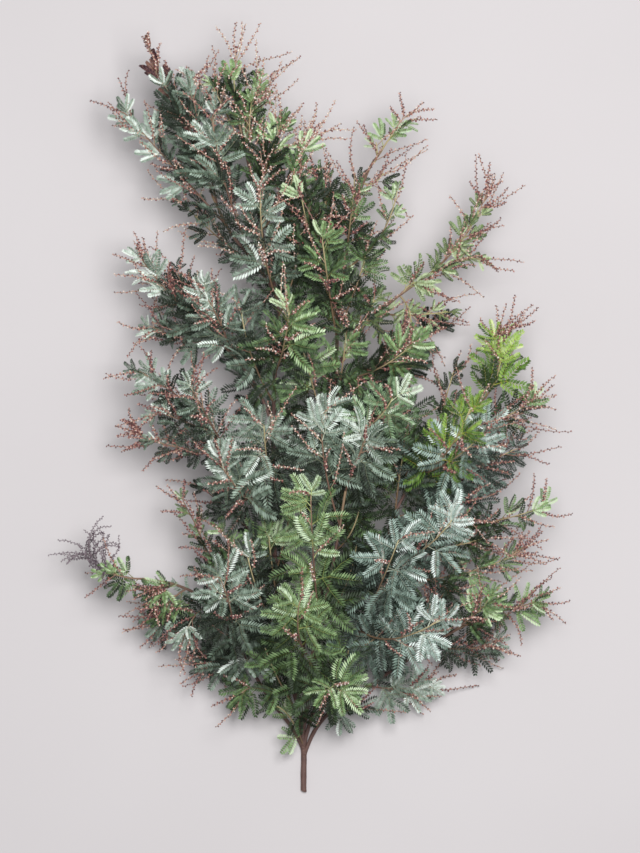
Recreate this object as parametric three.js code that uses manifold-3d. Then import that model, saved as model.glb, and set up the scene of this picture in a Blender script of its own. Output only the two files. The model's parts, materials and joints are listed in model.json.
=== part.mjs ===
// A cut branch of Cootamundra wattle, laid down on a table. A woody stem, cut at its foot, forks again and again.
// Its forks carry leafy shoots, and the shoots carry ferny leaves and slim sprays of flower buds.
// Millimetres. The cut end points to -Y, the tips to +Y, and +Z is up from the table at z = 0.

import * as THREE from 'three';
import Module from 'manifold-3d';
import { mergeVertices } from 'three/addons/utils/BufferGeometryUtils.js';

const wasm = await Module();
wasm.setup();

// Driving sizes
const CENTRE = [1.45, 3.38];
const STEM_SIDES = 8;
const FORK_SIDES = 6;
const TWIG_SIDES = 3;
const TWIG_RINGS = 4;
const TWIG_RADIUS = [1.4, 0.8];
const CUT_PLANE = { normal: [0.33, 0.92, 0.2], y: -404 };
const JOINT_GAP = 0.35;
const REST_DIP = 0.35;
const GOLDEN_ANGLE = 2.39996;
const LEAF_TURN = 1.7;
const LEAF_LEAN = [1.15, 0.65];
const LEAF_STEP = 4;
const LEVEL_LEAF_HEIGHT = 45;
const CUT_LEAF_HEIGHT = 140;
const STALK_LENGTH = [5, 10];
const PINNA_LENGTH = 31;
const PINNA_HALF_WIDTH = 0.2;
const PINNA_RISE = 0.1;
const PINNA_DROOP = [0.2, 0.4];
const LEAFLET_LIFT = 0.15;
const BLADE_RIB = 0.45;
const RACEME_TURN = 2.3;
const RACEME_LEAN = 0.75;
const SPRAY_LEAN = [0.9, 0.2];
const RACEME_STEP = 5;
const RACEME_RINGS = 4;
const RACEME_LENGTH = 48;
const SPRAY_RACEME_LENGTH = 34;
const SPRAY_AXIS = [0.95, 0.65];
const RACEME_AXIS = 0.6;
const BUD_HEAD = 1.7;
const FLOOR_CLEARANCE = 2;
const CELL_MARGIN = 1.3;

// The forks of the woody stem: the fork that each one leaves, where, counted in that fork's points, its radius at
// both ends, and the points that it passes.
const FORKS = {
  main: {
    radius: [3.2, 1.3],
    points: [
      [-6, -412, 0], [-6, -385, 0], [-6, -362, 0], [-10, -322, 8], [-24, -262, 29], [-34, -185, 56],
      [-38, -95, 82], [-37, -5, 98], [-35, 70, 106], [-33, 118, 108], [-43, 160, 110], [-54, 215, 114],
      [-64, 265, 118], [-75, 312, 120],
    ],
  },
  top_left: {
    parent: 'main', at: 9.2, radius: [1.9, 1.3],
    points: [[-58, 160, 106], [-82, 190, 108], [-101, 228, 112]],
  },
  right_top: {
    parent: 'main', at: 2.6, radius: [2.5, 1.3],
    points: [
      [-1, -308, 19], [8, -240, 45], [15, -150, 72], [22, -60, 90], [28, 20, 100], [30, 90, 106],
      [36, 140, 110], [44, 200, 114], [60, 250, 116], [76, 276, 118],
    ],
  },
  right_upper: {
    parent: 'right_top', at: 5.4, radius: [1.7, 1.3],
    points: [[54, 88, 104], [84, 116, 106], [122, 144, 106]],
  },
  right_middle: {
    parent: 'main', at: 2.2, radius: [2.2, 1.3],
    points: [
      [5, -318, 12], [22, -282, 34], [44, -250, 62], [68, -190, 90], [84, -120, 106], [108, -72, 114],
      [146, -30, 112], [182, 14, 108],
    ],
  },
  right_low: {
    parent: 'main', at: 1.9, radius: [2.2, 1.3],
    points: [[8, -336, 5], [30, -312, 10], [64, -290, 24], [104, -262, 42], [150, -232, 58], [188, -212, 66]],
  },
  left_low: {
    parent: 'main', at: 2.1, radius: [2.1, 1.3],
    points: [
      [-20, -334, 6], [-40, -308, 16], [-58, -278, 32], [-84, -232, 52], [-112, -196, 66], [-142, -180, 72],
      [-176, -174, 74],
    ],
  },
  left_middle: {
    parent: 'main', at: 5.4, radius: [1.8, 1.3],
    points: [[-50, -110, 92], [-66, -76, 102], [-90, -36, 110], [-112, -4, 114]],
  },
  left_high: {
    parent: 'main', at: 6.9, radius: [1.7, 1.3],
    points: [[-56, 30, 106], [-82, 64, 112], [-110, 92, 114]],
  },
  front: {
    parent: 'main', at: 2.9, radius: [1.9, 1.3],
    points: [[-4, -290, 46], [4, -250, 86], [16, -200, 122], [28, -140, 146], [38, -80, 156]],
  },
  under: {
    parent: 'main', at: 3.3, radius: [1.9, 1.3],
    points: [[-6, -250, 15], [0, -170, 21], [0, -80, 26], [-2, 20, 30], [-4, 110, 34]],
  },
};

// The leafy shoots: the fork that each one grows on, where, the point that bends it, its tip, how many leaves and
// axillary bud sprays it carries, its colour, and how far its leaves turn their upper sides up. A bend without a
// height is a shoot that dips just far enough for the branch to rest on it.
const SHOOTS = {
  top_left_tip: ['top_left', 3, [-122, 298, 120], [-167, 382, 112], 12, 4, 'grey', 0.35],
  top_left_outer: ['top_left', 2.2, [-145, 262, 118], [-192, 314, 116], 11, 5, 'grey', 0.35],
  top_left_front: ['top_left', 0.9, [-92, 232, 165], [-100, 306, 176], 10, 4, 'grey', 0.5],
  top_tip: ['main', 13, [-78, 330, 122], [-78, 352, 120], 6, 0, 'green', 0.3],
  top_inner: ['main', 10.6, [-24, 216, 132], [-8, 272, 132], 9, 3, 'green', 0.3],
  top_front: ['main', 9, [-50, 160, 176], [-50, 228, 194], 10, 5, 'grey', 0.5],
  top_left_edge: ['main', 9.7, [-88, 172, 96], [-134, 224, 84], 9, 4, 'grey', 0.3],
  top_centre: ['right_top', 6.1, [2, 172, 136], [-8, 226, 152], 10, 4, 'green', 0.35],
  top_centre_front: ['right_top', 5.8, [20, 130, 176], [14, 178, 196], 9, 3, 'green', 0.45],
  right_top_tip: ['right_top', 10, [84, 288, 119], [92, 300, 120], 5, 0, 'bright', 0.3],
  right_top_side: ['right_top', 7.2, [82, 176, 128], [92, 232, 136], 9, 4, 'green', 0.4],
  right_top_front: ['right_top', 7.4, [42, 190, 168], [46, 226, 184], 9, 4, 'green', 0.4],
  right_upper_tip: ['right_upper', 3, [160, 172, 106], [178, 212, 110], 12, 5, 'green', 0.3],
  right_upper_low: ['right_upper', 1.6, [110, 102, 88], [146, 108, 82], 8, 4, 'green', 0.3],
  right_inner: ['right_top', 5.2, [74, 40, 138], [104, 70, 150], 10, 4, 'green', 0.4],
  right_inner_front: ['right_top', 4.6, [62, -30, 176], [86, 16, 200], 11, 3, 'grey', 0.6],
  right_middle_tip: ['right_middle', 8, [206, 42, 110], [198, 74, 114], 9, 2, 'bright', 0.4],
  right_middle_out: ['right_middle', 7.3, [196, -12, 130], [234, 14, 136], 9, 5, 'green', 0.4],
  right_middle_front: ['right_middle', 6.2, [146, -56, 168], [180, -20, 184], 10, 4, 'grey', 0.6],
  right_middle_inner: ['right_middle', 6.6, [136, -6, 96], [152, 44, 92], 9, 3, 'green', 0.35],
  right_out: ['right_middle', 4.9, [170, -124, 112], [244, -98, 112], 12, 4, 'green', 0.4],
  right_out_low: ['right_middle', 4.2, [150, -178, 96], [208, -152, 92], 11, 6, 'green', 0.4],
  right_low_tip: ['right_low', 6, [218, -206, 66], [240, -198, 70], 8, 3, 'green', 0.4],
  right_low_under: ['right_low', 4.6, [156, -256, 40], [194, -244, 36], 9, 4, 'grey', 0.5],
  right_bottom: ['right_low', 3, [92, -296, 26], [128, -290, 26], 8, 3, 'grey', 0.5],
  right_front: ['right_middle', 4.4, [120, -150, 170], [148, -108, 192], 11, 3, 'grey', 0.7],
  right_front_low: ['right_middle', 3.4, [84, -248, 136], [136, -214, 150], 11, 4, 'grey', 0.7],
  right_front_inner: ['right_middle', 3.8, [70, -190, 160], [92, -130, 200], 11, 2, 'grey', 0.7],
  centre_green: ['front', 2.6, [4, -160, 184], [2, -84, 206], 12, 2, 'bright', 0.7],
  centre_green_low: ['front', 1.8, [-16, -240, 146], [-10, -196, 184], 10, 2, 'bright', 0.7],
  centre_low: ['front', 1.4, [30, -296, 96], [26, -282, 130], 7, 2, 'green', 0.6],
  centre_front: ['front', 5, [48, -52, 176], [58, -26, 200], 9, 3, 'grey', 0.6],
  centre_grey: ['main', 6.2, [-44, -60, 168], [-46, -12, 200], 11, 4, 'grey', 0.65],
  centre_right: ['front', 4.4, [10, -50, 180], [14, 0, 194], 9, 3, 'grey', 0.6],
  centre_high: ['main', 7.6, [-26, 60, 168], [-20, 104, 190], 10, 4, 'green', 0.5],
  left_high_tip: ['left_high', 3, [-146, 122, 116], [-174, 160, 114], 11, 5, 'grey', 0.35],
  left_high_low: ['left_high', 2.3, [-128, 74, 96], [-166, 92, 90], 9, 4, 'grey', 0.3],
  left_high_front: ['left_high', 2, [-88, 92, 150], [-110, 128, 166], 9, 4, 'grey', 0.45],
  left_middle_tip: ['left_middle', 4, [-142, 26, 118], [-176, 44, 124], 10, 5, 'grey', 0.35],
  left_middle_out: ['left_middle', 2.9, [-126, -40, 104], [-166, -28, 98], 9, 7, 'grey', 0.35],
  left_middle_front: ['left_middle', 2.4, [-96, -20, 160], [-122, 28, 176], 10, 5, 'grey', 0.5],
  left_inner_front: ['left_middle', 1.4, [-68, -90, 160], [-90, -54, 176], 9, 4, 'grey', 0.5],
  left_small: ['left_low', 4.2, [-100, -146, 92], [-132, -92, 104], 10, 6, 'green', 0.4],
  left_low_tip: ['left_low', 7, [-194, -174, 76], [-208, -168, 78], 6, 3, 'green', 0.3],
  left_low_out: ['left_low', 5.2, [-140, -214, 54], [-158, -222, 44], 9, 5, 'grey', 0.4],
  left_bottom: ['left_low', 3.4, [-86, -262, 34], [-106, -264, 32], 8, 3, 'grey', 0.5],
  left_front: ['left_low', 4, [-74, -216, 136], [-92, -170, 156], 11, 4, 'grey', 0.6],
  under_left: ['under', 3.2, [-80, 62], [-130, 128, 30], 9, 1, 'grey', 0.2],
  under_right: ['under', 3, [88, 44], [138, 100, 30], 9, 1, 'grey', 0.2],
  under_low_left: ['under', 1.8, [-54, -130, 16], [-112, -80, 28], 9, 1, 'grey', 0.2],
  under_low_right: ['under', 1.6, [66, -172, 16], [134, -124, 28], 9, 1, 'grey', 0.2],
};

// The bud sprays that end a shoot: how long the axis is, how far it turns, and how many racemes it carries.
const SPRAYS = {
  top_tip: [20, [4, 4, 0], 6],
  top_inner: [16, [6, 0, 2], 5],
  right_top_tip: [14, [2, 0, 0], 5],
  right_upper_tip: [14, [2, 4, 0], 5],
  right_middle_tip: [14, [12, 0, 0], 5],
  right_out_low: [14, [2, 4, 0], 5],
  left_low_tip: [24, [-2, 14, 4], 8],
  left_middle_out: [16, [0, 6, 0], 5],
};

// The share of the full leaf size on the shoots whose leaves are smaller.
const SMALL_LEAVES = {
  top_tip: 0.75, top_inner: 0.85, right_top_tip: 0.75, right_top_side: 0.75, right_upper_tip: 0.65,
  right_upper_low: 0.65, right_middle_tip: 0.8, right_middle_out: 0.8, right_middle_inner: 0.8, right_out: 0.85,
  right_out_low: 0.8, right_low_tip: 0.8, left_high_tip: 0.8, left_high_low: 0.8, left_middle_tip: 0.8,
  left_middle_out: 0.8, left_low_tip: 0.75, left_low_out: 0.85,
};

// The two pairs of pinnae of a leaf: the angle from the rachis, the start along it and the length as shares of the
// leaf's size.
const PINNA_PAIRS = [{ angle: 1.18, start: 0, share: 0.92 }, { angle: 0.48, start: 0.2, share: 1 }];

const MATERIALS = {
  bark: new THREE.MeshStandardMaterial({ color: 0x5b4238, roughness: 0.85, metalness: 0 }),
  grey: new THREE.MeshStandardMaterial({ color: 0x7d9488, roughness: 0.7, metalness: 0 }),
  green: new THREE.MeshStandardMaterial({ color: 0x56704c, roughness: 0.65, metalness: 0 }),
  bright: new THREE.MeshStandardMaterial({ color: 0x86a860, roughness: 0.6, metalness: 0 }),
  buds: new THREE.MeshStandardMaterial({ color: 0x9a5a4c, roughness: 0.75, metalness: 0 }),
};

const UP = new THREE.Vector3(0, 0, 1);
const vector = (p) => new THREE.Vector3(p[0], p[1], p[2]);

// A seeded run of numbers from 0 to 1, by a linear congruential rule.
function draws(seed) {
  let state = (seed * 2654435 + 12345) % 4294967296;
  return () => {
    state = (1664525 * state + 1013904223) % 4294967296;
    return state / 4294967296;
  };
}

// The way a curve runs at a place from 0 to 1.
function aheadOf(curve, place) {
  const from = Math.max(place - 0.01, 0);
  const to = Math.min(place + 0.01, 1);
  return curve.getPoint(to).sub(curve.getPoint(from)).normalize();
}

// A unit vector square to a direction, turned round it by an angle from level.
function squareTo(direction, angle) {
  const level = new THREE.Vector3().crossVectors(direction, UP).normalize();
  const upright = new THREE.Vector3().crossVectors(level, direction);
  return level.multiplyScalar(Math.cos(angle)).addScaledVector(upright, Math.sin(angle));
}

// A direction leaned out from an axis towards a side.
const leaned = (axis, side, lean) => axis.clone().multiplyScalar(Math.cos(lean)).addScaledVector(side, Math.sin(lean));

// A closed mesh from its corners and faces, as a solid.
function solidFrom(corners, faces) {
  const geometry = new THREE.BufferGeometry().setFromPoints(corners);
  geometry.setIndex(faces.flat());
  const merged = mergeVertices(geometry, 1e-4);
  const mesh = new wasm.Mesh({
    numProp: 3,
    vertProperties: merged.attributes.position.array,
    triVerts: new Uint32Array(merged.index.array),
  });
  return new wasm.Manifold(mesh);
}

// A closed tube through some points, with a flat below. radiusOf gives the radius at a ring and a corner.
function tube(points, sides, radiusOf) {
  const corners = [];
  const faces = [];
  const last = points.length - 1;
  points.forEach((point, ring) => {
    const direction = points[Math.min(ring + 1, last)].clone().sub(points[Math.max(ring - 1, 0)]).normalize();
    for (let corner = 0; corner < sides; corner++) {
      const angle = -Math.PI / 2 + ((corner + 0.5) * 2 * Math.PI) / sides;
      corners.push(point.clone().addScaledVector(squareTo(direction, angle), radiusOf(ring, corner)));
    }
  });
  for (let near = 0; near < last * sides; near += sides) {
    for (let corner = 0; corner < sides; corner++) {
      const next = (corner + 1) % sides;
      const far = near + sides;
      faces.push([near + corner, far + corner, far + next], [near + corner, far + next, near + next]);
    }
  }
  for (let corner = 1; corner < sides - 1; corner++) {
    faces.push([0, corner, corner + 1]);
    faces.push([last * sides, last * sides + corner + 1, last * sides + corner]);
  }
  return solidFrom(corners, faces);
}

// The forks: smooth curves, each starting on its parent's line. The main one lies on its flat.
const forks = {};
for (const [name, { parent, at, points, radius }] of Object.entries(FORKS)) {
  const sides = parent ? FORK_SIDES : STEM_SIDES;
  const passed = points.map(vector);
  if (parent) passed.unshift(forks[parent].pointAt(at));
  const spans = passed.length - 1;
  const radiusAt = (place) => THREE.MathUtils.lerp(...radius, place / spans);
  const flat = parent ? 0 : Math.cos(Math.PI / STEM_SIDES);
  passed.forEach((point, place) => point.setZ(point.z + flat * radiusAt(place)));
  const curve = new THREE.CatmullRomCurve3(passed, false, 'catmullrom', 0.5);
  forks[name] = { sides, spans, radiusAt, pointAt: (place) => curve.getPoint(place / spans) };
}

// A fork's tube, or with a swell the larger tube that leaves a gap round it.
function forkSolid({ sides, spans, pointAt, radiusAt }, swell) {
  const points = Array.from({ length: spans + 1 }, (_, place) => pointAt(place));
  const grown = swell / Math.cos(Math.PI / sides);
  const last = points.length - 1;
  points[last].addScaledVector(points[last].clone().sub(points[last - 1]).normalize(), swell);
  return tube(points, sides, (ring) => radiusAt(ring) + grown);
}

// The height of the bend that takes a shoot down to a height between its two ends.
const bendDownTo = (low, start, end) => low - Math.sqrt((start - low) * (end - low));

// Shoots: one plain bend each, from a point inside the fork to the tip.
const shoots = Object.entries(SHOOTS).map(([name, row], order) => {
  const [fork, at, bend, tip, leaves, racemes, tone, face] = row;
  const start = forks[fork].pointAt(at);
  const rest = ((TWIG_RADIUS[0] + TWIG_RADIUS[1]) / 2) * Math.cos(Math.PI / TWIG_SIDES) - REST_DIP;
  const [x, y, z = bendDownTo(rest, start.z, tip[2])] = bend;
  const curve = new THREE.QuadraticBezierCurve3(start, new THREE.Vector3(x, y, z), vector(tip));
  return { name, order, curve, leaves, racemes, tone, face };
});

// Sprays: each goes on from the tip of its shoot.
const sprays = Object.entries(SPRAYS).map(([name, [length, turn, racemes]], order) => {
  const { curve } = shoots.find((shoot) => shoot.name === name);
  const ahead = aheadOf(curve, 1);
  const start = curve.getPoint(1).addScaledVector(ahead, JOINT_GAP);
  const middle = start.clone().addScaledVector(ahead, length / 2);
  const end = middle.clone().addScaledVector(ahead, length / 2).add(vector(turn));
  return { name: `buds_${name}`, order: 90 + order, curve: new THREE.QuadraticBezierCurve3(start, middle, end), racemes };
});

// Each shoot and spray keeps to the space that is nearest to its own axis, so that their leaves never cross.
const SITES_ON_SHOOT = 14;
const SITES_ON_SPRAY = 5;
const sites = [];
for (const [axes, count] of [[shoots, SITES_ON_SHOOT], [sprays, SITES_ON_SPRAY]]) {
  for (const { name, curve } of axes) {
    for (let i = 0; i < count; i++) sites.push({ owner: name, point: curve.getPoint((i + 0.5) / count) });
  }
}

function inOwnCell(owner, point) {
  let own = Infinity;
  let other = Infinity;
  for (const site of sites) {
    const distance = site.point.distanceTo(point);
    if (site.owner === owner) own = Math.min(own, distance);
    else other = Math.min(other, distance);
  }
  return other - own >= 2 * CELL_MARGIN && point.z >= FLOOR_CLEARANCE;
}

// The largest of a few shares of its full size at which a shape keeps to its owner's space, or 0.
function fittingShare(owner, pointsAt) {
  return [1, 0.85, 0.7, 0.55].find((share) => pointsAt(share).every((p) => inOwnCell(owner, p))) ?? 0;
}

// A leaf's place on its shoot, its size, and its own axes: along its rachis, across it, and out of its upper side.
// Leaves stand round the shoot by the golden angle, lean forward more and more towards its tip, and don't dip
// into the table.
function leafOf(shoot, slot) {
  const draw = draws(1000 * shoot.order + slot);
  const along = (slot + 0.6) / shoot.leaves;
  const foot = shoot.curve.getPoint(along);
  const ahead = aheadOf(shoot.curve, along);
  const outward = squareTo(ahead, LEAF_TURN * shoot.order + GOLDEN_ANGLE * slot + 0.6 * (draw() - 0.5));
  const lean = THREE.MathUtils.lerp(...LEAF_LEAN, along) + 0.3 * (draw() - 0.5);
  const full = PINNA_LENGTH * (SMALL_LEAVES[shoot.name] ?? 1);
  const size = full * (0.86 + 0.28 * draw()) * (1 - 0.4 * along ** 3);
  const axis = leaned(ahead, outward, lean);
  const reach = 1.5 * size;
  const slope = (FLOOR_CLEARANCE + 2 - foot.z) / reach;
  if (axis.z < slope) axis.setZ(0).setLength(Math.sqrt(1 - slope ** 2)).setZ(slope);
  const low = THREE.MathUtils.clamp(1 - foot.z / LEVEL_LEAF_HEIGHT, 0, 1);
  const normal = leaned(ahead, outward, lean - Math.PI / 2).lerp(UP, shoot.face + (1 - shoot.face) * low);
  normal.addScaledVector(axis, -normal.dot(axis)).normalize();
  const across = new THREE.Vector3().crossVectors(normal, axis);
  const stalk = THREE.MathUtils.lerp(...STALK_LENGTH, draw());
  const droop = THREE.MathUtils.lerp(...PINNA_DROOP, draw());
  const place = (u, v, w) => foot.clone()
    .addScaledVector(axis, u).addScaledVector(across, v).addScaledVector(normal, w);
  return { size, stalk, droop, place, height: foot.z };
}

// A pinna springs from the rachis, arches over, and lifts its leaflets a little to both sides of its rib. A place on
// it is a share of its length and a share of its half width.
function pinnaOf(leaf, pair, side) {
  const { angle, start, share: lengthShare } = PINNA_PAIRS[pair];
  const length = leaf.size * lengthShare;
  return (share) => (p, q) => {
    const x = p * length * share;
    const y = q * length * share * PINNA_HALF_WIDTH;
    const u = leaf.stalk + start * leaf.size + x * Math.cos(angle) - y * Math.sin(angle);
    const v = side * (x * Math.sin(angle) + y * Math.cos(angle));
    const w = length * share * (PINNA_RISE * p - leaf.droop * p * p) + LEAFLET_LIFT * Math.abs(y);
    return leaf.place(u, v, w);
  };
}

// Places on a pinna that have to lie in its own cell.
const PINNA_SAMPLES = [[0.45, 1], [0.45, -1], [0.45, 0], [0.85, 0.8], [0.85, -0.8], [0.7, 0], [1, 0]];
// Half outlines of a pinna, from its foot to its tip: cut into leaflets, or plain for a leaf on the underside.
const CUT_OUTLINE = [[0.45, 1], [0.43, 0.2], [0.85, 0.8]];
const PLAIN_OUTLINE = [[0.5, 1]];

// One leaf: two pairs of pinnae round a short rachis, thick at the ribs and sharp at the edges, on a slim stalk.
function leafSolid(shoot, slot) {
  const leaf = leafOf(shoot, slot);
  const { size, stalk, place } = leaf;
  const outline = leaf.height > CUT_LEAF_HEIGHT ? CUT_OUTLINE : PLAIN_OUTLINE;
  const corners = [];
  const faces = [];
  const add = (point) => corners.push(point) - 1;
  const heart = [0.6, -0.6].map((w) => add(place(stalk + 0.1 * size, 0, w)));
  const [left, right] = [-1, 1].map((side) => add(place(stalk - 1.4, 0.7 * side, 0)));
  const [leftFork, rightFork] = [-1, 1].map((side) => add(place(stalk + 0.11 * size, 1.1 * side, 0)));
  const peak = add(place(stalk + 0.28 * size, 0, 0));
  const runs = [[0, -1, left, leftFork], [1, -1, leftFork, peak], [1, 1, peak, rightFork], [0, 1, rightFork, right]];
  let pinnae = 0;
  for (const [pair, side, from, to] of runs) {
    const shape = pinnaOf(leaf, pair, side);
    const share = fittingShare(shoot.name, (s) => PINNA_SAMPLES.map(([p, q]) => shape(s)(p, q)));
    if (!share) {
      faces.push([heart[0], from, to], [heart[1], to, from]);
      continue;
    }
    pinnae += 1;
    const at = shape(share);
    const rising = outline.map(([p, q]) => add(at(p, -side * q)));
    const falling = outline.map(([p, q]) => add(at(p, side * q))).reverse();
    const rim = [from, ...rising, add(at(1, 0)), ...falling, to];
    const thickness = place(0, 0, BLADE_RIB).sub(place(0, 0, 0));
    const ribs = [add(at(0.36, 0).add(thickness)), add(at(0.36, 0).sub(thickness))];
    faces.push([heart[0], from, ribs[0]], [heart[0], ribs[0], to], [heart[1], ribs[1], from], [heart[1], to, ribs[1]]);
    for (let i = 1; i < rim.length; i++) {
      faces.push([ribs[0], rim[i - 1], rim[i]], [ribs[1], rim[i], rim[i - 1]]);
    }
  }
  if (!pinnae) return null;
  const [footLeft, footRight, footLow] = [[-0.55, 0.3], [0.55, 0.3], [0, -0.6]].map(([v, w]) => add(place(0, v, w)));
  faces.push([footLeft, heart[0], footRight], [footLeft, left, heart[0]], [footRight, heart[0], right]);
  faces.push([footLow, heart[1], left], [footLow, left, footLeft], [footLow, right, heart[1]]);
  faces.push([footLow, footRight, right], [footLow, footLeft, footRight]);
  return solidFrom(corners, faces);
}

// A raceme: a slim three-sided axis whose corners stand out in turn as round bud heads.
function racemeSolid(owner, { foot, direction, curl, length }) {
  const pointsAt = (share) => Array.from({ length: RACEME_RINGS + 1 }, (_, i) => {
    const reach = (i / RACEME_RINGS) * length * share;
    return foot.clone().addScaledVector(direction, reach).addScaledVector(curl, (reach * i) / RACEME_RINGS);
  });
  const share = fittingShare(owner, (s) => pointsAt(s).slice(2));
  if (!share) return null;
  return tube(pointsAt(share), 3, (ring, corner) => {
    const thinning = 1 - 0.06 * ring;
    return thinning * (ring > 0 && (ring + corner) % 3 === 0 ? BUD_HEAD : RACEME_AXIS);
  });
}

// A raceme's foot, direction and curl at its place on a shoot or on the axis of a spray.
function racemeOf({ curve, order, racemes }, index, lean, fullLength) {
  const draw = draws(500000 + 1000 * order + index);
  const along = 0.15 + (0.85 * (index + 0.5)) / racemes;
  const ahead = aheadOf(curve, along);
  const outward = squareTo(ahead, RACEME_TURN * order + GOLDEN_ANGLE * index + 0.8 * (draw() - 0.5));
  const direction = leaned(ahead, outward, lean + 0.4 * (draw() - 0.5));
  const length = fullLength * (0.75 + 0.5 * draw());
  const curl = ahead.multiplyScalar(0.3 * draw()).addScaledVector(UP, 0.3 * (draw() - 0.6));
  return { foot: curve.getPoint(along), direction, curl, length };
}

const group = new THREE.Group();
group.position.set(-CENTRE[0], -CENTRE[1], 0);

function addNode(name, solid, tone) {
  const [body] = solid.decompose().sort((a, b) => b.volume() - a.volume());
  const mesh = body.getMesh();
  const geometry = new THREE.BufferGeometry();
  geometry.setAttribute('position', new THREE.BufferAttribute(mesh.vertProperties, 3));
  geometry.setIndex(new THREE.BufferAttribute(mesh.triVerts, 1));
  const node = new THREE.Mesh(geometry.toNonIndexed(), MATERIALS[tone]);
  node.geometry.computeVertexNormals();
  node.name = name;
  group.add(node);
}

const union = (solids) => wasm.Manifold.union(solids.filter(Boolean));

// The woody stem with all its forks, cut aslant at the foot.
const everyFork = Object.values(forks);
const [nx, ny, nz] = CUT_PLANE.normal;
const cutOffset = nx * FORKS.main.points[0][0] + ny * CUT_PLANE.y + nz * FORKS.main.radius[0];
const stem = union(everyFork.map((fork) => forkSolid(fork, 0)));
addNode('stem', stem.trimByPlane(CUT_PLANE.normal, cutOffset / Math.hypot(nx, ny, nz)), 'bark');
const roundStem = union(everyFork.map((fork) => forkSolid(fork, JOINT_GAP)));

// The shoots: twig, leaves and bud sprays in one solid, cut clear of the stem. Every fourth leaf place is filled,
// counted back from the tip, and every fifth place of a raceme.
for (const shoot of shoots) {
  const points = Array.from({ length: TWIG_RINGS + 1 }, (_, ring) => shoot.curve.getPoint(ring / TWIG_RINGS));
  const taper = (ring) => THREE.MathUtils.lerp(...TWIG_RADIUS, ring / TWIG_RINGS);
  const parts = [tube(points, TWIG_SIDES, taper)];
  for (let slot = shoot.leaves - 1; slot > 0; slot -= LEAF_STEP) parts.push(leafSolid(shoot, slot));
  for (let index = 0; index < shoot.racemes; index += RACEME_STEP) {
    parts.push(racemeSolid(shoot.name, racemeOf(shoot, index, RACEME_LEAN, RACEME_LENGTH)));
  }
  addNode(`shoot_${shoot.name}`, union(parts).subtract(roundStem).trimByPlane([0, 0, 1], 0), shoot.tone);
}

// The bud sprays at the tips, each on its own short axis.
for (const spray of sprays) {
  const points = [0, 0.5, 1].map((place) => spray.curve.getPoint(place));
  const parts = [tube(points, 3, (ring) => THREE.MathUtils.lerp(...SPRAY_AXIS, ring / 2))];
  for (let index = 0; index < spray.racemes; index++) {
    const lean = THREE.MathUtils.lerp(...SPRAY_LEAN, index / spray.racemes);
    parts.push(racemeSolid(spray.name, racemeOf(spray, index, lean, SPRAY_RACEME_LENGTH)));
  }
  addNode(spray.name, union(parts), 'buds');
}

export default group;
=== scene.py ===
"""A cut branch of Cootamundra wattle, laid on a table and seen from straight above.

A woody stem forks into limbs, the forks carry leafy shoots, and the shoots carry ferny leaves and slim
racemes of flower buds. Lengths are in millimetres and meshes in metres. The cut end points to -Y.
"""
import json
import bpy
import numpy as np
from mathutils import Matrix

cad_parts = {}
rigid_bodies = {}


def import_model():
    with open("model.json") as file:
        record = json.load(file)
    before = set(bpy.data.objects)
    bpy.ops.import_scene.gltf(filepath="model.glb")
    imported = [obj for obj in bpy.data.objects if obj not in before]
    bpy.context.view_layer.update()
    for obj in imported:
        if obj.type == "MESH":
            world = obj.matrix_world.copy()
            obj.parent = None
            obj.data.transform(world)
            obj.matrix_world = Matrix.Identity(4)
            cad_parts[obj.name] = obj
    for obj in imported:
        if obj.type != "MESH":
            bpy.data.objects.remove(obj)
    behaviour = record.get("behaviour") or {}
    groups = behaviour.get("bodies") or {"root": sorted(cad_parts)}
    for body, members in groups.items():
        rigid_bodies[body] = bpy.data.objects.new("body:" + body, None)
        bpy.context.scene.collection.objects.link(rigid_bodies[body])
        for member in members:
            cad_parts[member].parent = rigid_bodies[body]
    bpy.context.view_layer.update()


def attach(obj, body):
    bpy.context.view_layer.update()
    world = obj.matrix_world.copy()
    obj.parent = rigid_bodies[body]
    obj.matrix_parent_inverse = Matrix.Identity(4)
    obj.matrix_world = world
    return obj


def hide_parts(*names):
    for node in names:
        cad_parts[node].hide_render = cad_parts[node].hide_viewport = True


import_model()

# The stem is one piece of young wood, 6 mm thick at the foot, where it was cut aslant. It forks six times
# within six centimetres and four times higher up. Its bark is thin, purple-brown and finely ridged along the
# wood. The foot lies flat on the table.
CENTRE = np.array([1.45, 3.38, 0.0])
METRES = 0.001
UP = np.array([0.0, 0.0, 1.0])
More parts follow.
